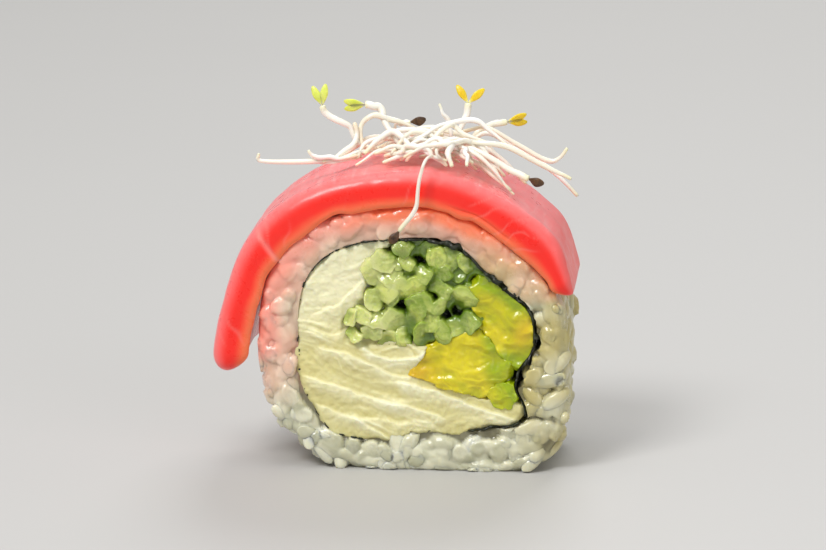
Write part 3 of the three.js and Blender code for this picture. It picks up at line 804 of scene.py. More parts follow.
def creamLook():
    material, tree, shader = newMaterial("softCheese", 0.5, (0.4, (1.0, 0.85, 0.5), 0.0011), (0.1, 0.3))
    t = tonesOf(cream)
    spots = tree.group(mottle, Broad=260.0, Fine=1300.0, Contrast=0.6)
    cheese = tree.layered(t["cheese"], (spots["Mask"], t["paleCheese"]),
                          # lighter on the flakes and folds: a painted highlight
                          (tree.attribute("ridge"), t["ridge"]),
                          # darker between the flakes: painted shade
                          (tree.times(tree.attribute("valley"), 0.6), t["valley"]),
                          # dark where the cheese sinks under other fillings: painted shade
                          (tree.attribute("pocket"), t["pocket"]))
    finishLook(tree, shader, cheese, spots["Height"], 0.6, 0.0004)
    return material


# height of a fold above the smeared cheese: it tails off softly below its line and drops sharply above
def foldHeight(x, z, lineX, lineZ, height, tail):
    away = z - np.interp(x, lineX, lineZ) + 0.25 * valueNoise(x / 1.6, z / 1.6, 0, 15)
    ends = between(x, lineX[0] - 0.5, lineX[0] + 1.8, lineX[-1] - 1.8, lineX[-1] + 0.5)
    below, above = bell(np.minimum(away, 0), tail), 1 - smoothStep(away, 0.0, 0.34)
    return height * ends * np.where(away < 0, below, above)


# flakes dragged up by the knife: saw waves across the drag, of several widths, that come and go along it
def flakeHeight(x, z, seed):
    drag = np.radians(mix(-15, 28, smoothStep(z, 17, 28)) + 14 * valueNoise(x / 8, z / 8, 0, seed))
    u = x * np.cos(drag) + z * np.sin(drag)
    v = z * np.cos(drag) - x * np.sin(drag) + 0.8 * cloud(u / 7, z / 5, 0, seed + 1, 2)
    flakes = 0
    for width, height, k in cream["flakes"]:
        line = v / width + 0.6 * valueNoise(u / (1.9 * width), v / (1.4 * width), 0, seed + k)
        row = np.floor(line)
        comes = valueNoise(u / (2.6 * width) + 17.3 * row, row * 5.7, 0, seed + k + 1)
        faint = 0.6 * smoothStep(-x, 8, 13) if width < 3 else 0
        saw = between(line - row, 0, 0.78, 0.78, 1)
        flakes = flakes + height * smoothStep(comes, -0.35, 0.5) * saw * (1 - faint)
    return flakes


# the cheese: two sheets over the filling's outline with flakes and folds, sunk where other fillings lie
def makeCream():
    angle, share = discGrid(cream["grid"])
    degrees = np.degrees(angle) % 360
    over = cream["overClosed"] * closedOver(degrees) + cream["overThin"] * between(degrees, *spans["lapped"])
    ragged = cloud(5 * np.cos(angle), 5 * np.sin(angle), 0, 19, 4)
    reach = fillingRadius(angle) + cream["over"] + over * (1 + 0.5 * ragged) + 0.08 * ragged
    x, z = fromPolar(fillingOutline, angle, share * reach)
    lobes = [depthInside(cucumberHeap, x, z) - 0.4, depthInside(cream["hollow"], x, z)]
    lobes += [depthInCorners(part, x, z) - 0.3 for part in ("wedge", "strip")]
    ragged = 0.35 * cloud(x / 1.8, z / 1.8, 0, 12)
    lobe = depthInside(cucumberLobe, x, z)
    soft = 1 - smoothStep(x + 0.4 * (z - 22), -5.5, 0.5)
    sunk = smoothStep(np.maximum.reduce(lobes) + ragged, -0.1, cream["lip"]) * mix(1, 0.42, soft)
    sunk = np.maximum(sunk, 0.25 * smoothStep(lobe + ragged, 0, 1.2))
    # lighter towards the upper left: the ridges' pale tone is laid on there and the darkened valleys fade
    lighterUpperLeft = smoothStep(z - 0.3 * x, 20, 30)
    sheets, masks = [], []
    for side, seed in ((-1, 30), (1, 60)):
        calm = mix(0.35, 1, smoothStep(cloud(x / 6, z / 6, 0, seed + 5, 2), -0.5, 0.5))
        calm = calm * mix(1, 0.5, smoothStep(z - 0.25 * x, 24, 29)) * mix(1, 0.4, smoothStep(share, 0.8, 1))
        flakes = calm * flakeHeight(x, z, seed)
        folds = sum(foldHeight(x, z, *fold) for fold in cream["folds"]) if side < 0 else 0
        wave = 0.5 * np.sin(0.55 * x + 0.9 * z + 2 * side) + 0.5 * np.sin(0.3 * z - 0.42 * x + side)
        high = slab["half"] - cream["smear"] - 0.45 + 0.35 * wave * cream["smear"]
        high = high + cream["ridge"] * (flakes - 0.25) + folds + 0.09 * cloud(x / 0.7, z / 0.7, 0, seed + 9)
        high = softLimit(high, slab["half"] - 0.04, 12)
        y = side * (high - 0.45 * smoothStep(share, 0.95, 1.0) ** 2 - cream["pocket"] * sunk)
        sheets.append(np.stack([x, y, z], -1))
        # lighter on the flakes and folds: a painted highlight
        ridge = np.clip(0.9 * (flakes + folds), 0, 1)
        masks.append({"ridge": np.maximum(ridge, 0.6 * lighterUpperLeft),
                      # dark where the cheese sinks under other fillings: painted shade
                      "pocket": np.maximum(sunk ** 3, 0.22 * smoothStep(lobe, -0.6, 1.5)),
                      # darker between the flakes: painted shade
                      "valley": np.clip(0.55 - 1.6 * ridge, 0, 1) * (1 - 0.8 * lighterUpperLeft)})
    points, faces = twoSheets(*sheets)
    makePiece("creamCheese", points, faces, creamLook(), "cream_cheese", "cream_cheese", joinValues(masks))


def avocadoLook():
    material, tree, shader = newMaterial("ripeAvocado", 0.3, (0.5, (1.0, 0.9, 0.2), 0.0008), (0.35, 0.15))
    t = tonesOf(avocado)
    spots = tree.group(mottle, Broad=180.0, Fine=900.0, Contrast=0.7)
    flesh = tree.layered(t["flesh"], (spots["Mask"], t["paleFlesh"]), (tree.attribute("rind"), t["rind"]),
                         (tree.times(tree.attribute("warm"), 0.75), t["warm"]),
                         # darker green in the dents of the cut face: painted shade
                         (tree.times(tree.attribute("hollow"), 0.5), t["hollow"]))
    finishLook(tree, shader, flesh, spots["Height"], 0.4, 0.0004)
    return material


# a piece of avocado: two sheets over its ragged outline, cut off at the nori, its cut face stepped and
# dented where the knife dragged it (a warped noise, and saw waves across a slant)
def makeAvocado(name, part, node, seed, material, sunk=0.0, green=0.0):
    middle, corners = avocado[part]
    angle, share = discGrid(avocado["grid"])
    edge = cornersRadius(middle, corners, angle)
    edge = edge * (1 + 0.1 * cloud(2.6 * np.cos(angle), 2.6 * np.sin(angle), 0, seed, 4)) + 0.15
    x = middle[0] + share * edge * np.cos(angle)
    z = middle[1] + share * edge * np.sin(angle)
    at, r = toPolar(fillingOutline, x, z)
    r = np.minimum(r, fillingRadius(at) + slab["lap"])
    x, z = fromPolar(fillingOutline, at, r)
    nearSkin = 1 - smoothStep(fillingRadius(at) - r, 0.0, 2.2)
    if part == "wedge":
        nearSkin = np.maximum(nearSkin, 0.75 * smoothStep(x + 0.3 * (z - 15), 8.8, 12.6))
    if part == "strip":
        nearSkin = nearSkin * smoothStep(z, 21, 25) + 0.8 * (1 - smoothStep(z, 16.2, 18.4))
    warm = bell(x + 0.2, 3.2) * bell(z - 14.6, 3.0)
    warm = np.maximum(warm, 0.6 * bell(x - 15.6, 1.8) * bell(z - 20.4, 2.4))
    sheets, masks = [], []
    for side in (-1, 1):
        dent = cloud(x / 3.0, z / 2.4, side, seed + 3, 2)
        line = (z + 0.5 * x) / 3.4 + 0.8 * dent
        along = line - np.floor(line)
        step = smoothStep(along, 0.0, 0.8) - smoothStep(along, 0.8, 1.0)
        rise = 0.5 * dent + 0.16 * (step - 0.5) + 0.12 * cloud(x / 0.9, z / 0.9, 0, seed + 6, 2)
        high = slab["half"] - 0.6 - sunk + avocado["rough"] * rise - 0.9 * smoothStep(share, 0.84, 1) ** 2
        sheets.append(np.stack([x, side * softLimit(high, slab["half"] - 0.05, 12), z], -1))
        uneven = 0.45 * cloud(x / 2.8, z / 2.8, 0, seed + 9, 2)
        # hollow darkens where the cut face is dented: painted shade
        masks.append({"rind": np.clip(nearSkin + uneven + green, 0, 1), "warm": warm,
                      "hollow": np.clip(-1.3 * rise, 0, 1)})
    makePiece(name, *twoSheets(*sheets), material, "avocado", node, joinValues(masks))


nori = {
    "steps": 520, "rows": 14,                          # points round the filling, and from edge to edge
    "seam": -38, "seamGap": 0.03,                      # where its ends meet, in degrees, and half the gap
    "torn": 1.1, "drawnIn": 0.14, "drawnInTorn": 0.2,  # its thickness where torn, and where closed over
    "ragged": (0.7, 0.5), "wander": 0.14,              # of the front and back edges, and in and out
    "tones": {"dark": (10, 14, 8), "pale": (40, 48, 26)},
}


def noriLook():
    material, tree, shader = newMaterial("dampNori", 0.4)
    t = tonesOf(nori)
    spots = tree.group(mottle, Broad=500.0, Fine=2500.0, Contrast=0.8)
    tree.link(tree.remap(spots["Mask"], 0.0, 1.0, 0.3, 0.6), shader.inputs["Roughness"])
    finishLook(tree, shader, tree.colour(spots["Mask"], t["dark"], t["pale"]), spots["Height"], 0.5, 0.0003)
    return material


# the nori: a thin rectangle section carried once round the filling, its radius and its two cut edges
# wandering with noise, so that it shows as a broken dark line; low on the left it is drawn in
def makeNori():
    gap = nori["seamGap"]
    angle = math.radians(nori["seam"]) + np.linspace(gap, fullTurn - gap, nori["steps"])
    degrees = np.degrees(angle) % 360
    near = fillingRadius(angle, slab["gap"])
    px, pz = near * np.cos(angle), near * np.sin(angle)
    covered = closedOver(degrees)
    thin = smoothStep(degrees, *spans["thin"][:2]) * (1 - covered)
    full = slab["nori"] * 0.7 + nori["torn"] * tornOnRight(degrees, px, pz)
    drawnIn = nori["drawnIn"] + nori["drawnInTorn"] * tornAt(px, pz)
    thick = mix(full, drawnIn, np.maximum(thin, covered))
    raggedFront, raggedBack = nori["ragged"]
    front = slab["half"] - 0.5 - covered - 0.45 * thin + raggedFront * cloud(px / 0.9, pz / 0.9, 0, 75)
    back = slab["half"] - 0.55 + raggedBack * cloud(px / 0.9, pz / 0.9, 9, 77)
    front, back = (np.minimum(v, slab["half"] - 0.1)[:, None] for v in (front, back))
    k = nori["rows"]
    y = mix(-front, back, np.concatenate([np.linspace(0, 1, k), np.linspace(1, 0, k)]))
    wander = nori["wander"] * cloud(px / 1.4, pz / 1.4, 0, 71)
    r = (near + wander)[:, None] + thick[:, None] * np.repeat([0, 1], k)
    x, z = fromPolar(fillingOutline, angle[:, None], r)
    points, fans = fanEnds(np.stack([x, y, z], -1))
    makePiece("noriSheet", points, [skinFaces(*x.shape), fans], noriLook(), "nori", "nori")


cucumber = {
    "grid": 220,                                # points across the sheet
    "pitch": 2.5, "stick": 1.6,                 # from stick to stick, and a stick's half width
    "uneven": 1.1, "deep": 3.0, "sharp": 11.0,  # of their ends, between them, and how crisply they meet
    "patch": {"x": 0.4, "z": 25.2, "halfWidth": 12.4, "above": 9.6, "below": 8.6, "turn": 14,
              "full": (2,) * 4},
    # dark hollows left open between the sticks: x, z and radius
    "gaps": [(-2.6, 23.8, 1.0), (-1.2, 24.8, 0.7), (0.5, 30.1, 0.7), (1.6, 27.0, 0.6), (6.6, 23.3, 0.9),
             (4.2, 22.4, 0.7), (2.4, 25.6, 0.6), (9.0, 27.6, 0.5)],
    "placed": [(-3.5, 18.8, 1.1), (-9.2, 22.4, 0.8)],  # hollow sticks with a place of their own: x, z, size
    # the wet tone gives pale flecks: partly the flesh's own paler spots, partly painted wet highlights
    "tones": {"flesh": (112, 144, 8), "paleFlesh": (210, 219, 104), "wet": (218, 226, 138),
              # rim, low and side are painted shade: darker green at the edges of the stick ends and on sunken
              # ends, near black deep between the sticks; their cheesy tones are paler, and the cheesy rim is
              # cheese smeared on the rims
              "cells": (104, 140, 14), "rim": (112, 146, 14), "cheesyRim": (234, 234, 180),
              "smear": (230, 228, 168), "low": (80, 116, 8), "cheesyLowShade": (160, 178, 70),
              "side": (14, 22, 2), "cheesyGapShade": (150, 160, 70)},
}
firstPlaced = 900  # draws of the placed sticks start here, past those of the rows


# middles of the sticks: rows with a little disorder over the heap and its lobe, pushed out of the hollows;
# gives x, z, size and the number that each one's draws start from
def stickMiddles():
    row, column = (v.ravel() for v in np.meshgrid(np.arange(-5, 5), np.arange(-6, 6), indexing="ij"))
    n = 600 + 50 * row + 2 * column
    pitch, shifted = cucumber["pitch"], np.where(row % 2 == 1, 0.5, 0.0)
    x = cucumberHeap["x"] + pitch * (column + shifted + 0.5 * (draw(n) - 0.5))
    z = cucumberHeap["z"] + pitch * (0.87 * row + 0.5 * (draw(n + 400) - 0.5))
    for gapX, gapZ, radius in cucumber["gaps"]:
        dx, dz = x - gapX, z - gapZ
        away = np.maximum(1, (radius + 1.1) / np.maximum(np.hypot(dx, dz), 0.05))
        x, z = gapX + dx * away, gapZ + dz * away
    kept = np.maximum(depthInside(cucumberHeap, x, z) - 0.5, depthInside(cucumberLobe, x, z) - 1.2) > 0
    kept &= depthInside(fillingOutline, x, z) > 0.6
    for part in ("wedge", "strip"):
        kept &= depthInCorners(part, x, z) < 0.2
    for placedX, placedZ, size in cucumber["placed"]:
        kept &= np.hypot(x - placedX, z - placedZ) > 0.7 + 1.3 * size
    own = np.array(cucumber["placed"])
    grown = np.stack([x, z, mix(0.8, 1.28, draw(n + 71)), n], -1)[kept]
    return np.concatenate([grown, np.column_stack([own, firstPlaced + 2.0 * np.arange(len(own))])])


def cucumberLook():
    material, tree, shader = newMaterial("cutCucumber", 0.2, (0.6, (0.8, 1.0, 0.3), 0.0009), (0.6, 0.08))
    t = tonesOf(cucumber)
    spots = tree.group(mottle, Broad=520.0, Fine=2200.0, Contrast=1.0)
    cheesy = tree.attribute("cheesy")
    # rim, low and side are painted shade; where cheese lies they take paler tones, and the rim there is pale
    # cheese
    rim, low, side = (tree.colour(cheesy, t[dark], t[light]) for dark, light in (
        ("rim", "cheesyRim"), ("low", "cheesyLowShade"), ("side", "cheesyGapShade")))
    cells = tree.remap(tree.noise(tree.position(), 1100.0, 4.0, 0.6, 0.4), 0.5, 0.68)
    flesh = tree.layered(t["flesh"], (tree.attribute("shade"), t["paleFlesh"]),
                         # pale flecks: partly the flesh's own paler spots, partly painted wet highlights
                         (tree.times(spots["Mask"], 0.55), t["wet"]), (tree.times(cells, 0.4), t["cells"]),
                         (tree.times(tree.attribute("rim"), 0.4), rim),
                         (tree.times(cheesy, 0.35), t["smear"]),
                         (tree.times(tree.attribute("low"), 0.85), low), (tree.attribute("side"), side))
    finishLook(tree, shader, flesh, spots["Height"], 0.45, 0.0004)
    return material


# the cut ends of the sticks as a relief over (x, z): each end is a slanting, lumpy top with a ragged
# oblong edge (a superellipse); tops are blended by a sum of exponentials, and noise breaks them up
def stickRelief(x, z, seed):
    deep, sharp = cucumber["deep"], cucumber["sharp"]
    left = smoothStep(-1.5 - x + 1.5 * valueNoise(x / 2, z / 2, 0, seed + 11), 0, 3.5)
    rimmed = 1 - smoothStep(depthInside(cucumberHeap, x, z) + 0.5 * valueNoise(x / 2, z / 2, 0, 16), 0.4, 1.6)
    base = 1.25 + 1.6 * np.maximum(left, rimmed * (x < 6))
    for gapX, gapZ, radius in cucumber["gaps"]:
        near = 1 - smoothStep(np.hypot(x - gapX, z - gapZ), 0.5 * radius, radius + 1.0)
        base = np.maximum(base, 1.25 + (deep - 1.25) * near)
    total = np.exp(-sharp * base)
    shade, rim = 0.3 * total, 0 * x
    warpX = x + 0.24 * cloud(x / 1.3, z / 1.3, 0, seed, 2)
    warpZ = z + 0.24 * cloud(x / 1.3, z / 1.3, 0, seed + 3, 2)
    for x0, z0, size, n in stickMiddles():
        hollow = n >= firstPlaced
        n = n + seed
        dx, dz = warpX - x0, warpZ - z0
        turned = np.arctan2(dz, dx) - fullTurn * draw(n + 5)
        power, narrow = mix(2.4, 5.0, draw(n + 6)), mix(0.6, 1.0, draw(n + 8))
        edge = (np.abs(np.cos(turned)) ** power + np.abs(np.sin(turned) / narrow) ** power) ** (-1 / power)
        far = np.hypot(dx, dz) / (edge * cucumber["stick"] * size)
        lean, tilt = fullTurn * draw(n + 61), 0.15 + 0.6 * draw(n + 63)
        slant = tilt * (dx * np.cos(lean) + dz * np.sin(lean))
        depth = 0.2 + cucumber["uneven"] * draw(n + 71) ** 1.6 + slant
        depth = depth + 0.12 * far ** 6 + deep * smoothStep(far, 0.9, 1.32)
        if hollow:
            depth = depth + 0.4 * (1 - smoothStep(far, 0, 0.75))
        weight = np.exp(-sharp * np.minimum(depth, deep + 1))
        total = total + weight
        shade = shade + weight * draw(n + 17)
        # rim: how near a point is to the edge of its stick's end, darkened in the look as painted shade
        rim = rim + weight * smoothStep(far, 0.55, 0.95)
    depth = 0.15 * cloud(x / 1.1, z / 1.1, 0, seed + 5, 2) - np.log(total) / sharp
    depth = depth + 0.05 * valueNoise(x / 0.4, z / 0.4, 0, seed + 8)
    return depth, np.clip(shade / total, 0, 1), np.clip(rim / total, 0, 1)


# the heap of cucumber: two sheets raised by the stick ends, sinking under the cheese outside the heap
def makeCucumber():
    angle, share = discGrid(cucumber["grid"])
    patch = cucumber["patch"]
    at, far = toPolar(fillingOutline, *fromPolar(patch, angle, share * outlineRadius(patch, angle)))
    x, z = fromPolar(fillingOutline, at, np.minimum(far, fillingRadius(at) + slab["lap"]))
    held = np.maximum(depthInside(cucumberHeap, x, z), depthInside(cucumberLobe, x, z))
    outside = 1 - smoothStep(held, -1.2, 0.2)
    cheesy = smoothStep(1.0 - x + 1.5 * valueNoise(x / 1.5, z / 1.5, 0, 13), 2.0, 6.5)
    sheets, masks = [], []
    for side, seed in ((-1, 40), (1, 90)):
        depth, shade, rim = stickRelief(x, z, seed)
        high = slab["half"] - np.maximum(depth, 0.1) - 1.4 * outside
        sheets.append(np.stack([x, side * high, z], -1))
        # low and side darken the relief by its depth: painted shade on sunken ends and between the sticks
        masks.append({"shade": shade, "rim": rim, "low": smoothStep(depth, 0.45, 1.3),
                      "side": smoothStep(depth, 1.3, 2.4), "cheesy": cheesy})
    points, faces = twoSheets(*sheets)
    makePiece("cucumberSticks", points, faces, cucumberLook(), "cucumber", "cucumber", joinValues(masks))


makeCream()
cutAvocado = avocadoLook()
makeAvocado("avocadoWedge", "wedge", "avocado_low", 81, cutAvocado)
makeAvocado("avocadoChunk", "chunk", "avocado_low", 91, cutAvocado, 0.3, 0.8)
makeAvocado("avocadoStrip", "strip", "avocado_high", 86, cutAvocado, 0.1, 0.15)
makeNori()
makeCucumber()
print("filling made")

sprout = {
    "radius": 0.5, "around": 10, "steps": 54,           # of a stem; points round it and along it
    "wander": 0.25, "wanderLying": 0.75, "root": 0.52,  # how far it strays, and how thin it ends
    "leaf": (3.2, 1.25, 0.6), "seed": (2.3, 1.5, 1.2),  # length, width and depth
    # sprouts lying in the tangle: how many, first draw, height over the fish, shortest reach in degrees
    # and thickness
    "lying": [(11, 700, 0.7, 18, 0.95), (6, 2000, 0.5, 12, 0.75), (9, 4000, 1.3, 14, 0.95)],
    "tones": {"stem": (246, 238, 216), "paleStem": (255, 253, 246), "foot": (244, 226, 196),
              "tip": (236, 232, 160), "spot": (236, 222, 196), "lime": (206, 222, 74),
              "paleLime": (232, 240, 130), "yellow": (236, 202, 38), "leafFoot": (240, 238, 186),
              "hull": (44, 26, 14), "paleHull": (112, 76, 40)},
}
# sprouts that stand out of the tangle: what the tip carries, how far its two leaves spread, how thick
# it is, and the run from foot to tip
standing = [
    ("bare", 0, 0.9, [(-1.6, -3, 45), (-7.9, -4, 45.2), (-11.6, -4.5, 44), (-21.8, -5, 43.7),
                      (-22.9, -5, 45)]),
    ("lime", 0.32, 1.0, [(-4.7, -1.5, 44.9), (-8.6, -2, 46.2), (-10, -2, 48.9), (-13.3, -2, 50.4),
                         (-13.9, -2, 51.6)]),
    ("lime", 0.2, 1.15, [(-0.4, -3.5, 45.6), (-2.6, -2.5, 46.2), (-4.6, -1, 48.7), (-5.9, 0, 50.7),
                         (-6.9, 0, 51.4), (-7.9, 0, 51.5)]),
    ("bare", 0, 0.8, [(4.6, 1, 44.9), (4.2, 1, 48), (3.6, 1, 49.8), (2.7, 1, 51.6)]),
    ("yellow", 0.7, 1.0, [(4.6, 3.5, 44.9), (5.8, 5.5, 47.5), (6.5, 6.5, 50.8)]),
    ("yellow", 0.2, 1.0, [(6.2, 3, 44.7), (8.6, 4, 47.4), (12.2, 5.5, 48.3)]),
    ("seed", 0, 1.0, [(5.5, -3.5, 44.8), (8.4, -5.5, 46.2), (13.9, -7, 43.3), (16.2, -7.5, 42.4)]),
    ("bare", 0, 1.0, [(6.4, 2, 44.8), (9.6, 3, 47), (15.9, 4.5, 43.2), (19.6, 5, 40.6), (22.6, 5, 37.6)]),
    ("seed", 0, 0.62, [(2.8, -5, 45), (1.9, -11.9, 45.8), (1.2, -12.7, 43.7), (0.4, -12.7, 39),
                       (-1.9, -12.7, 35.5)]),
    ("bare", 0, 0.9, [(5.5, -4.5, 44.8), (7.2, -7.5, 46.4), (7.6, -11, 44.8)]),
    ("bare", 0, 1.0, [(-9.3, -2, 49.2), (-8.9, -2.5, 47.4), (-9.8, -3.5, 45.8), (-11.8, -4.5, 44.4),
                      (-13.6, -5, 43.9)]),
    ("bare", 0, 1.0, [(-7.8, -3, 44.7), (-8.4, -1.5, 48.2), (-6.9, -1, 50.0), (-4.4, -0.5, 49.7),
                      (-1.6, 0, 48.7), (1.6, 0.5, 46.4)]),
    ("bare", 0, 1.0, [(-8.7, -4.5, 44.4), (-7.3, -3, 46.5), (-4.0, -2, 47.7), (0.5, -1, 48.1),
                      (3.4, 0, 47.2)]),
    ("bare", 0, 1.0, [(-6.1, -6, 45.4), (-2.5, -5.5, 46.5), (1.9, -5.5, 46.1), (6.8, -5, 47.2)]),
    ("bare", 0, 1.1, [(3.0, -4, 45.4), (-0.3, -5, 46.2), (-3.6, -3, 48.1), (-5.7, -3.5, 47.1),
                      (-7.6, -5, 45.2)]),
    ("bare", 0, 0.9, [(-3.0, -2, 46.2), (0.1, -3, 47.4), (3.4, -2, 49.0), (7.7, -1, 49.4), (10.8, -1, 47.8),
                      (13.3, -2, 45.5)]),
    ("bare", 0, 1.0, [(5.0, -3, 46.8), (8.6, -5, 47.2), (13.0, -5, 46.7), (18.6, -5.5, 43.8),
                      (22.2, -6, 42.2)]),
    ("bare", 0, 0.9, [(6.0, 1, 47.6), (9.8, 0, 48.3), (13.8, 0, 45.9), (18.4, 0, 43.6), (20.1, 0, 44.0),
                      (21.3, 0, 45.6)]),
    ("bare", 0, 0.9, [(5.1, -6.5, 46.3), (2.4, -4, 47.3), (4.7, -2, 49.0), (6.5, -2, 47.9),
                      (10.3, -3, 46.6)]),
    ("bare", 0, 0.9, [(-3.6, -6.5, 45.5), (-0.8, -3, 48.0), (2.9, -3, 47.1), (6.3, -6, 45.5),
                      (8.3, -8, 44.6)]),
    ("bare", 0, 0.8, [(-8.6, -4.6, 44.9), (-11.2, -5, 44.4), (-13.0, -5, 44.7), (-14.9, -5.5, 44.8),
                      (-15.6, -5.5, 45.7)]),
    ("bare", 0, 0.7, [(-7.9, -4, 44.7), (-11.6, -4.5, 43.8), (-14.5, -4.5, 44.1), (-15.8, -4, 45.3)]),
    ("bare", 0, 1.2, [(4.4, -3, 46.4), (5.4, -6, 47.2), (4.9, -8.6, 46.2), (5.4, -9.8, 44.4)]),
    ("seed", 0, 0.6, [(-4.6, 1, 47.4), (-3.0, 0.6, 48.7), (-1.4, 0.2, 49.0)]),
]


# sprouts that lie across each other in the tangle, each arched as a half sine over the fish
def lyingRuns(count, first, lift, shortest):
    runs = []
    for i in range(count):
        n = first + i * 11
        way = 1 if i % 5 in (1, 3) else -1
        start = mix(104, 72, draw(n)) - way * 8
        reach = way * mix(shortest, 44, draw(n + 1))
        y = mix(-6.4, 6.4, draw(n + 2))
        drift = mix(-7, 7, draw(n + 3))
        t = np.arange(4) / 3
        degrees = start + reach * t
        height = lift + mix(0.8, 3, draw(n + 4)) * np.sin(math.pi * t)
        x, z = fromPolar(riceOutline, np.radians(degrees), fishOuter(degrees) + height)
        runs.append(np.stack([x, np.clip(y + drift * t * t, -7.4, 8.6), z], -1))
    return runs


# moves points out until a stem with this room round it clears the fish's upper side
def liftClear(points, room):
    x, y, z = points.T
    degrees, r = degreesRound(x, z), toPolar(riceOutline, x, z)[1]
    r = np.where(np.abs(y) > fish["halfDepth"] + room, r, np.maximum(r, fishOuter(degrees) + room))
    x, z = fromPolar(riceOutline, np.radians(degrees), r)
    return np.stack([x, y, z], -1)


# a smooth curve through the points: Catmull-Rom, each stretch a cubic of its four nearest points
def throughPoints(points, steps):
    p = np.asarray(points, float)
    p = np.concatenate([[2 * p[0] - p[1]], p, [2 * p[-1] - p[-2]]])
    s = np.linspace(0, len(p) - 3 - 1e-9, steps)
    i = s.astype(int)
    t = (s - i)[:, None]
    a, b, c, d = p[i], p[i + 1], p[i + 2], p[i + 3]
    squared, cubed = 2 * a - 5 * b + 4 * c - d, 3 * b - a - 3 * c + d
    return 0.5 * (2 * b + (c - a) * t + squared * t ** 2 + cubed * t ** 3)


# a tube along a path: at each step a ring across the path, with its own radius
def tube(path, radius):
    ahead = np.gradient(path, axis=0)
    ahead /= np.linalg.norm(ahead, axis=1)[:, None]
    side = np.cross(ahead, np.array([0.13, 0.97, 0.2]))
    side /= np.linalg.norm(side, axis=1)[:, None]
    up = np.cross(side, ahead)
    a = np.linspace(0, fullTurn, sprout["around"], endpoint=False)[:, None]
    ring = side[:, None, :] * np.cos(a) + up[:, None, :] * np.sin(a)
    closed, fans = fanEnds(path[:, None, :] + ring * radius[:, None, None])
    return closed, [skinFaces(len(path), len(a)), fans]


# one stem: it thins towards its foot, or to a fine root where it carries nothing, with a slight wander
def makeStem(run, n, thick, root, lies):
    base = sprout["radius"] * thick
    s = np.linspace(0, 1, sprout["steps"])
    bend = np.stack([valueNoise(s * 5 + k * 9, n, 0, 91 + k) for k in range(3)], -1)
    wander = sprout["wanderLying" if lies else "wander"] * bend * np.sin(math.pi * s)[:, None]
    path = liftClear(throughPoints(run, sprout["steps"]) + wander, base + 0.15)
    radius = base * mix(0.62, 1.0, smoothStep(s, 0, 0.8)) * (1 + 0.08 * bend[:, 0])
    radius = radius * mix(1.0, sprout["root"], root * smoothStep(s, 0.45, 1.0))
    radius = radius * np.sqrt(between(s, -0.02, 0.03, 0.985, 1.02))
    points, faces = tube(path, radius)
    along = np.concatenate([np.repeat(s, sprout["around"]), [0, 1]])
    shade = np.full(len(points), float(draw(n + 0.3)))
    return (points, faces, {"along": along, "shade": shade}), path


def stemLook():
    material, tree, shader = newMaterial("sproutStem", 0.28, (0.3, (1.0, 0.9, 0.7), 0.0012), (0.3, 0.15))
    t = tonesOf(sprout)
    along = tree.attribute("along")
    spots = tree.group(mottle, Broad=600.0, Fine=2500.0, Contrast=0.4)
    stem = tree.layered(t["stem"], (tree.attribute("shade"), t["paleStem"]),
                        (tree.remap(along, 0.3, 0.0), t["foot"]),
                        (tree.times(tree.remap(along, 0.8, 1.0), 0.5), t["tip"]),
                        (tree.times(spots["Mask"], 0.15), t["spot"]))
    finishLook(tree, shader, stem, spots["Height"], 0.3, 0.0002)
    return material


# a seed leaf or hull: a spoon shape, round at the tip and narrow at the foot, hollowed along its middle;
# also how far along it each point is
def leafShape(rings=14, around=12):
    t = np.linspace(0.02, 0.98, rings)
    a = np.linspace(0, fullTurn, around, endpoint=False)
    wide = (np.sin(math.pi * t ** 0.8) ** 0.5 * mix(0.4, 1, smoothStep(t, 0.0, 0.65)))[:, None]
    x = wide * np.cos(a) * 0.5
    z = wide * np.sin(a) * 0.5 - 0.35 * (x * 2) ** 2 + 0.25 * t[:, None] ** 2
    closed, fans = fanEnds(np.stack([x, t[:, None] + 0 * a, z], -1))
    return closed, [skinFaces(rings, around), fans], np.concatenate([np.repeat(t, around), [0, 1]])


def leafLook():
    material, tree, shader = newMaterial("seedLeaf", 0.3, (0.6, (0.9, 1.0, 0.2), 0.0008))
    t = tonesOf(sprout)
    spots = tree.group(mottle, Broad=500.0, Fine=2000.0, Contrast=0.5)
    leaf = tree.layered(t["lime"], (spots["Mask"], t["paleLime"]), (tree.attribute("ripe"), t["yellow"]),
                        (tree.remap(tree.attribute("along"), 0.3, 0.0), t["leafFoot"]))
    finishLook(tree, shader, leaf, spots["Height"], 0.3, 0.0002)
    return material


def hullLook():
    material, tree, shader = newMaterial("seedHull", 0.35)
    t = tonesOf(sprout)
    spots = tree.group(mottle, Broad=700.0, Fine=3000.0, Contrast=0.9)
    husk = tree.colour(spots["Mask"], t["hull"], t["paleHull"])
    finishLook(tree, shader, husk, spots["Height"], 0.6, 0.0003)
    return material


# three axes for a tip piece that points along way
def tipAxes(way, size, lean=0.0):
    way = way / np.linalg.norm(way)
    side = np.cross(way, np.array([0, 1, 0.15]))
    side /= np.linalg.norm(side)
    flat = np.cross(side, way)
    turned = way * math.cos(lean) + side * math.sin(lean)
    across = side * math.cos(lean) - way * math.sin(lean)
    length, width, depth = size
    return np.stack([across * width, turned * length, flat * depth])


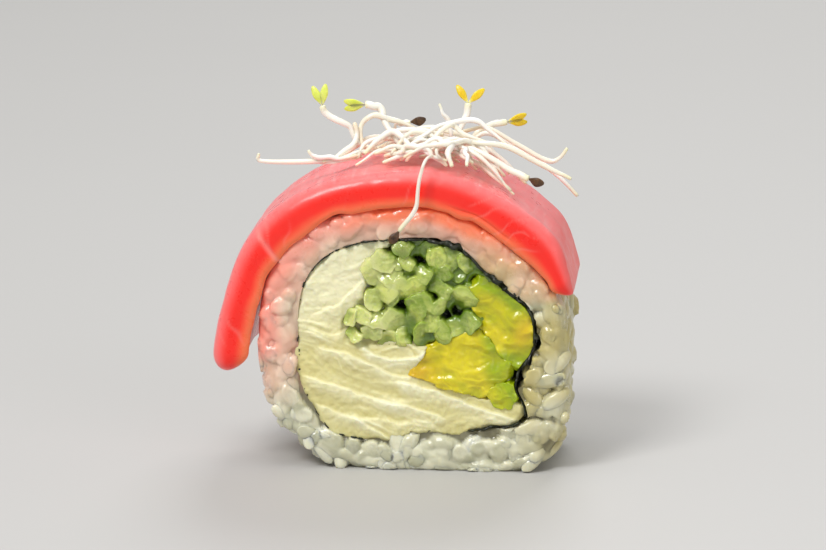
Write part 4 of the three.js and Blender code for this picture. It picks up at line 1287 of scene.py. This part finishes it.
# stems with their leaves and hulls, each kind joined into one piece
def makeSprouts():
    stems, leaves, hulls = [], [], []
    shape, faces, along = leafShape()
    runs = standing + [("bare", 0, thick, run) for count, first, lift, shortest, thick in sprout["lying"]
                       for run in lyingRuns(count, first, lift, shortest)]
    for i, (tip, fork, thick, run) in enumerate(runs):
        stem, path = makeStem(run, 40 + i, thick, tip == "bare", i >= len(standing))
        stems.append(stem)
        end, way = path[-1], path[-1] - path[-4]
        if tip in ("lime", "yellow"):
            ripe = np.full(len(shape), float(tip == "yellow"))
            for lean in (-fork, fork):
                points = shape @ tipAxes(way, sprout["leaf"], lean) + end
                leaves.append((points, faces, {"along": along, "ripe": ripe}))
        if tip == "seed":
            hulls.append((shape @ tipAxes(way, sprout["seed"]) + end, faces, {"along": along}))
    for name, sets, look in (("sproutStems", stems, stemLook()), ("sproutLeaves", leaves, leafLook()),
                             ("sproutHulls", hulls, hullLook())):
        points, joined, values = joinSets(sets)
        makePiece(name, points, joined, look, "sprouts", "sprouts", values)


makeSprouts()
print("sprouts made")

studio = {
    "elevation": 12, "azimuth": 5, "distance": 0.6, "lens": 180, "aim": (-0.001, 0.0, 0.0265),
    "lights": [("keyLight", (-0.35, -0.55, 0.75), 0.3, 5.8), ("fillLight", (0.6, -0.6, 0.35), 0.6, 1.4),
               ("rimLight", (0.1, 0.65, 0.6), 0.4, 2.6), ("topLight", (-0.1, -0.1, 0.95), 0.5, 2.2)],
    "lightAim": (0, 0, 0.02), "sky": (1.0, 0.99, 0.97, 1), "skyStrength": 0.38, "floorHalf": 3.0,
    "tones": {"floor": (186, 185, 183), "paleFloor": (190, 189, 187)},
}


def floorLook():
    material, tree, shader = newMaterial("paleFloor", 0.6)
    t = tonesOf(studio)
    floorTone = tree.colour(tree.noise(tree.position(), 6.0), t["floor"], t["paleFloor"])
    tree.link(floorTone, shader.inputs["Base Color"])
    return material


def makeFloor():
    h = studio["floorHalf"]
    mesh = bpy.data.meshes.new("floor")
    mesh.from_pydata([(-h, -h, 0), (h, -h, 0), (h, h, 0), (-h, h, 0)], [], [(0, 1, 2, 3)])
    mesh.materials.append(floorLook())
    floor = bpy.data.objects.new("floor", mesh)
    bpy.context.scene.collection.objects.link(floor)


def aimed(name, data, place, target):
    thing = bpy.data.objects.new(name, data)
    thing.location = place
    thing.rotation_euler = (Vector(target) - Vector(place)).to_track_quat("-Z", "Y").to_euler()
    bpy.context.scene.collection.objects.link(thing)
    return thing


def makeLights():
    scene = bpy.context.scene
    scene.view_settings.view_transform = "Standard"
    scene.world = bpy.data.worlds.new("softWorld")
    scene.world.use_nodes = True
    sky = scene.world.node_tree.nodes["Background"].inputs
    sky["Color"].default_value = studio["sky"]
    sky["Strength"].default_value = studio["skyStrength"]
    for name, place, size, power in studio["lights"]:
        data = bpy.data.lights.new(name, "AREA")
        data.size = size
        data.energy = power
        aimed(name, data, place, studio["lightAim"])


def makeCamera():
    e, a = math.radians(studio["elevation"]), math.radians(studio["azimuth"])
    away = Vector((math.sin(a) * math.cos(e), -math.cos(a) * math.cos(e), math.sin(e))) * studio["distance"]
    data = bpy.data.cameras.new("camera")
    data.lens = studio["lens"]
    target = Vector(studio["aim"])
    bpy.context.scene.camera = aimed("camera", data, target + away, target)


makeFloor()
makeLights()
makeCamera()
print("floor, light and camera made")
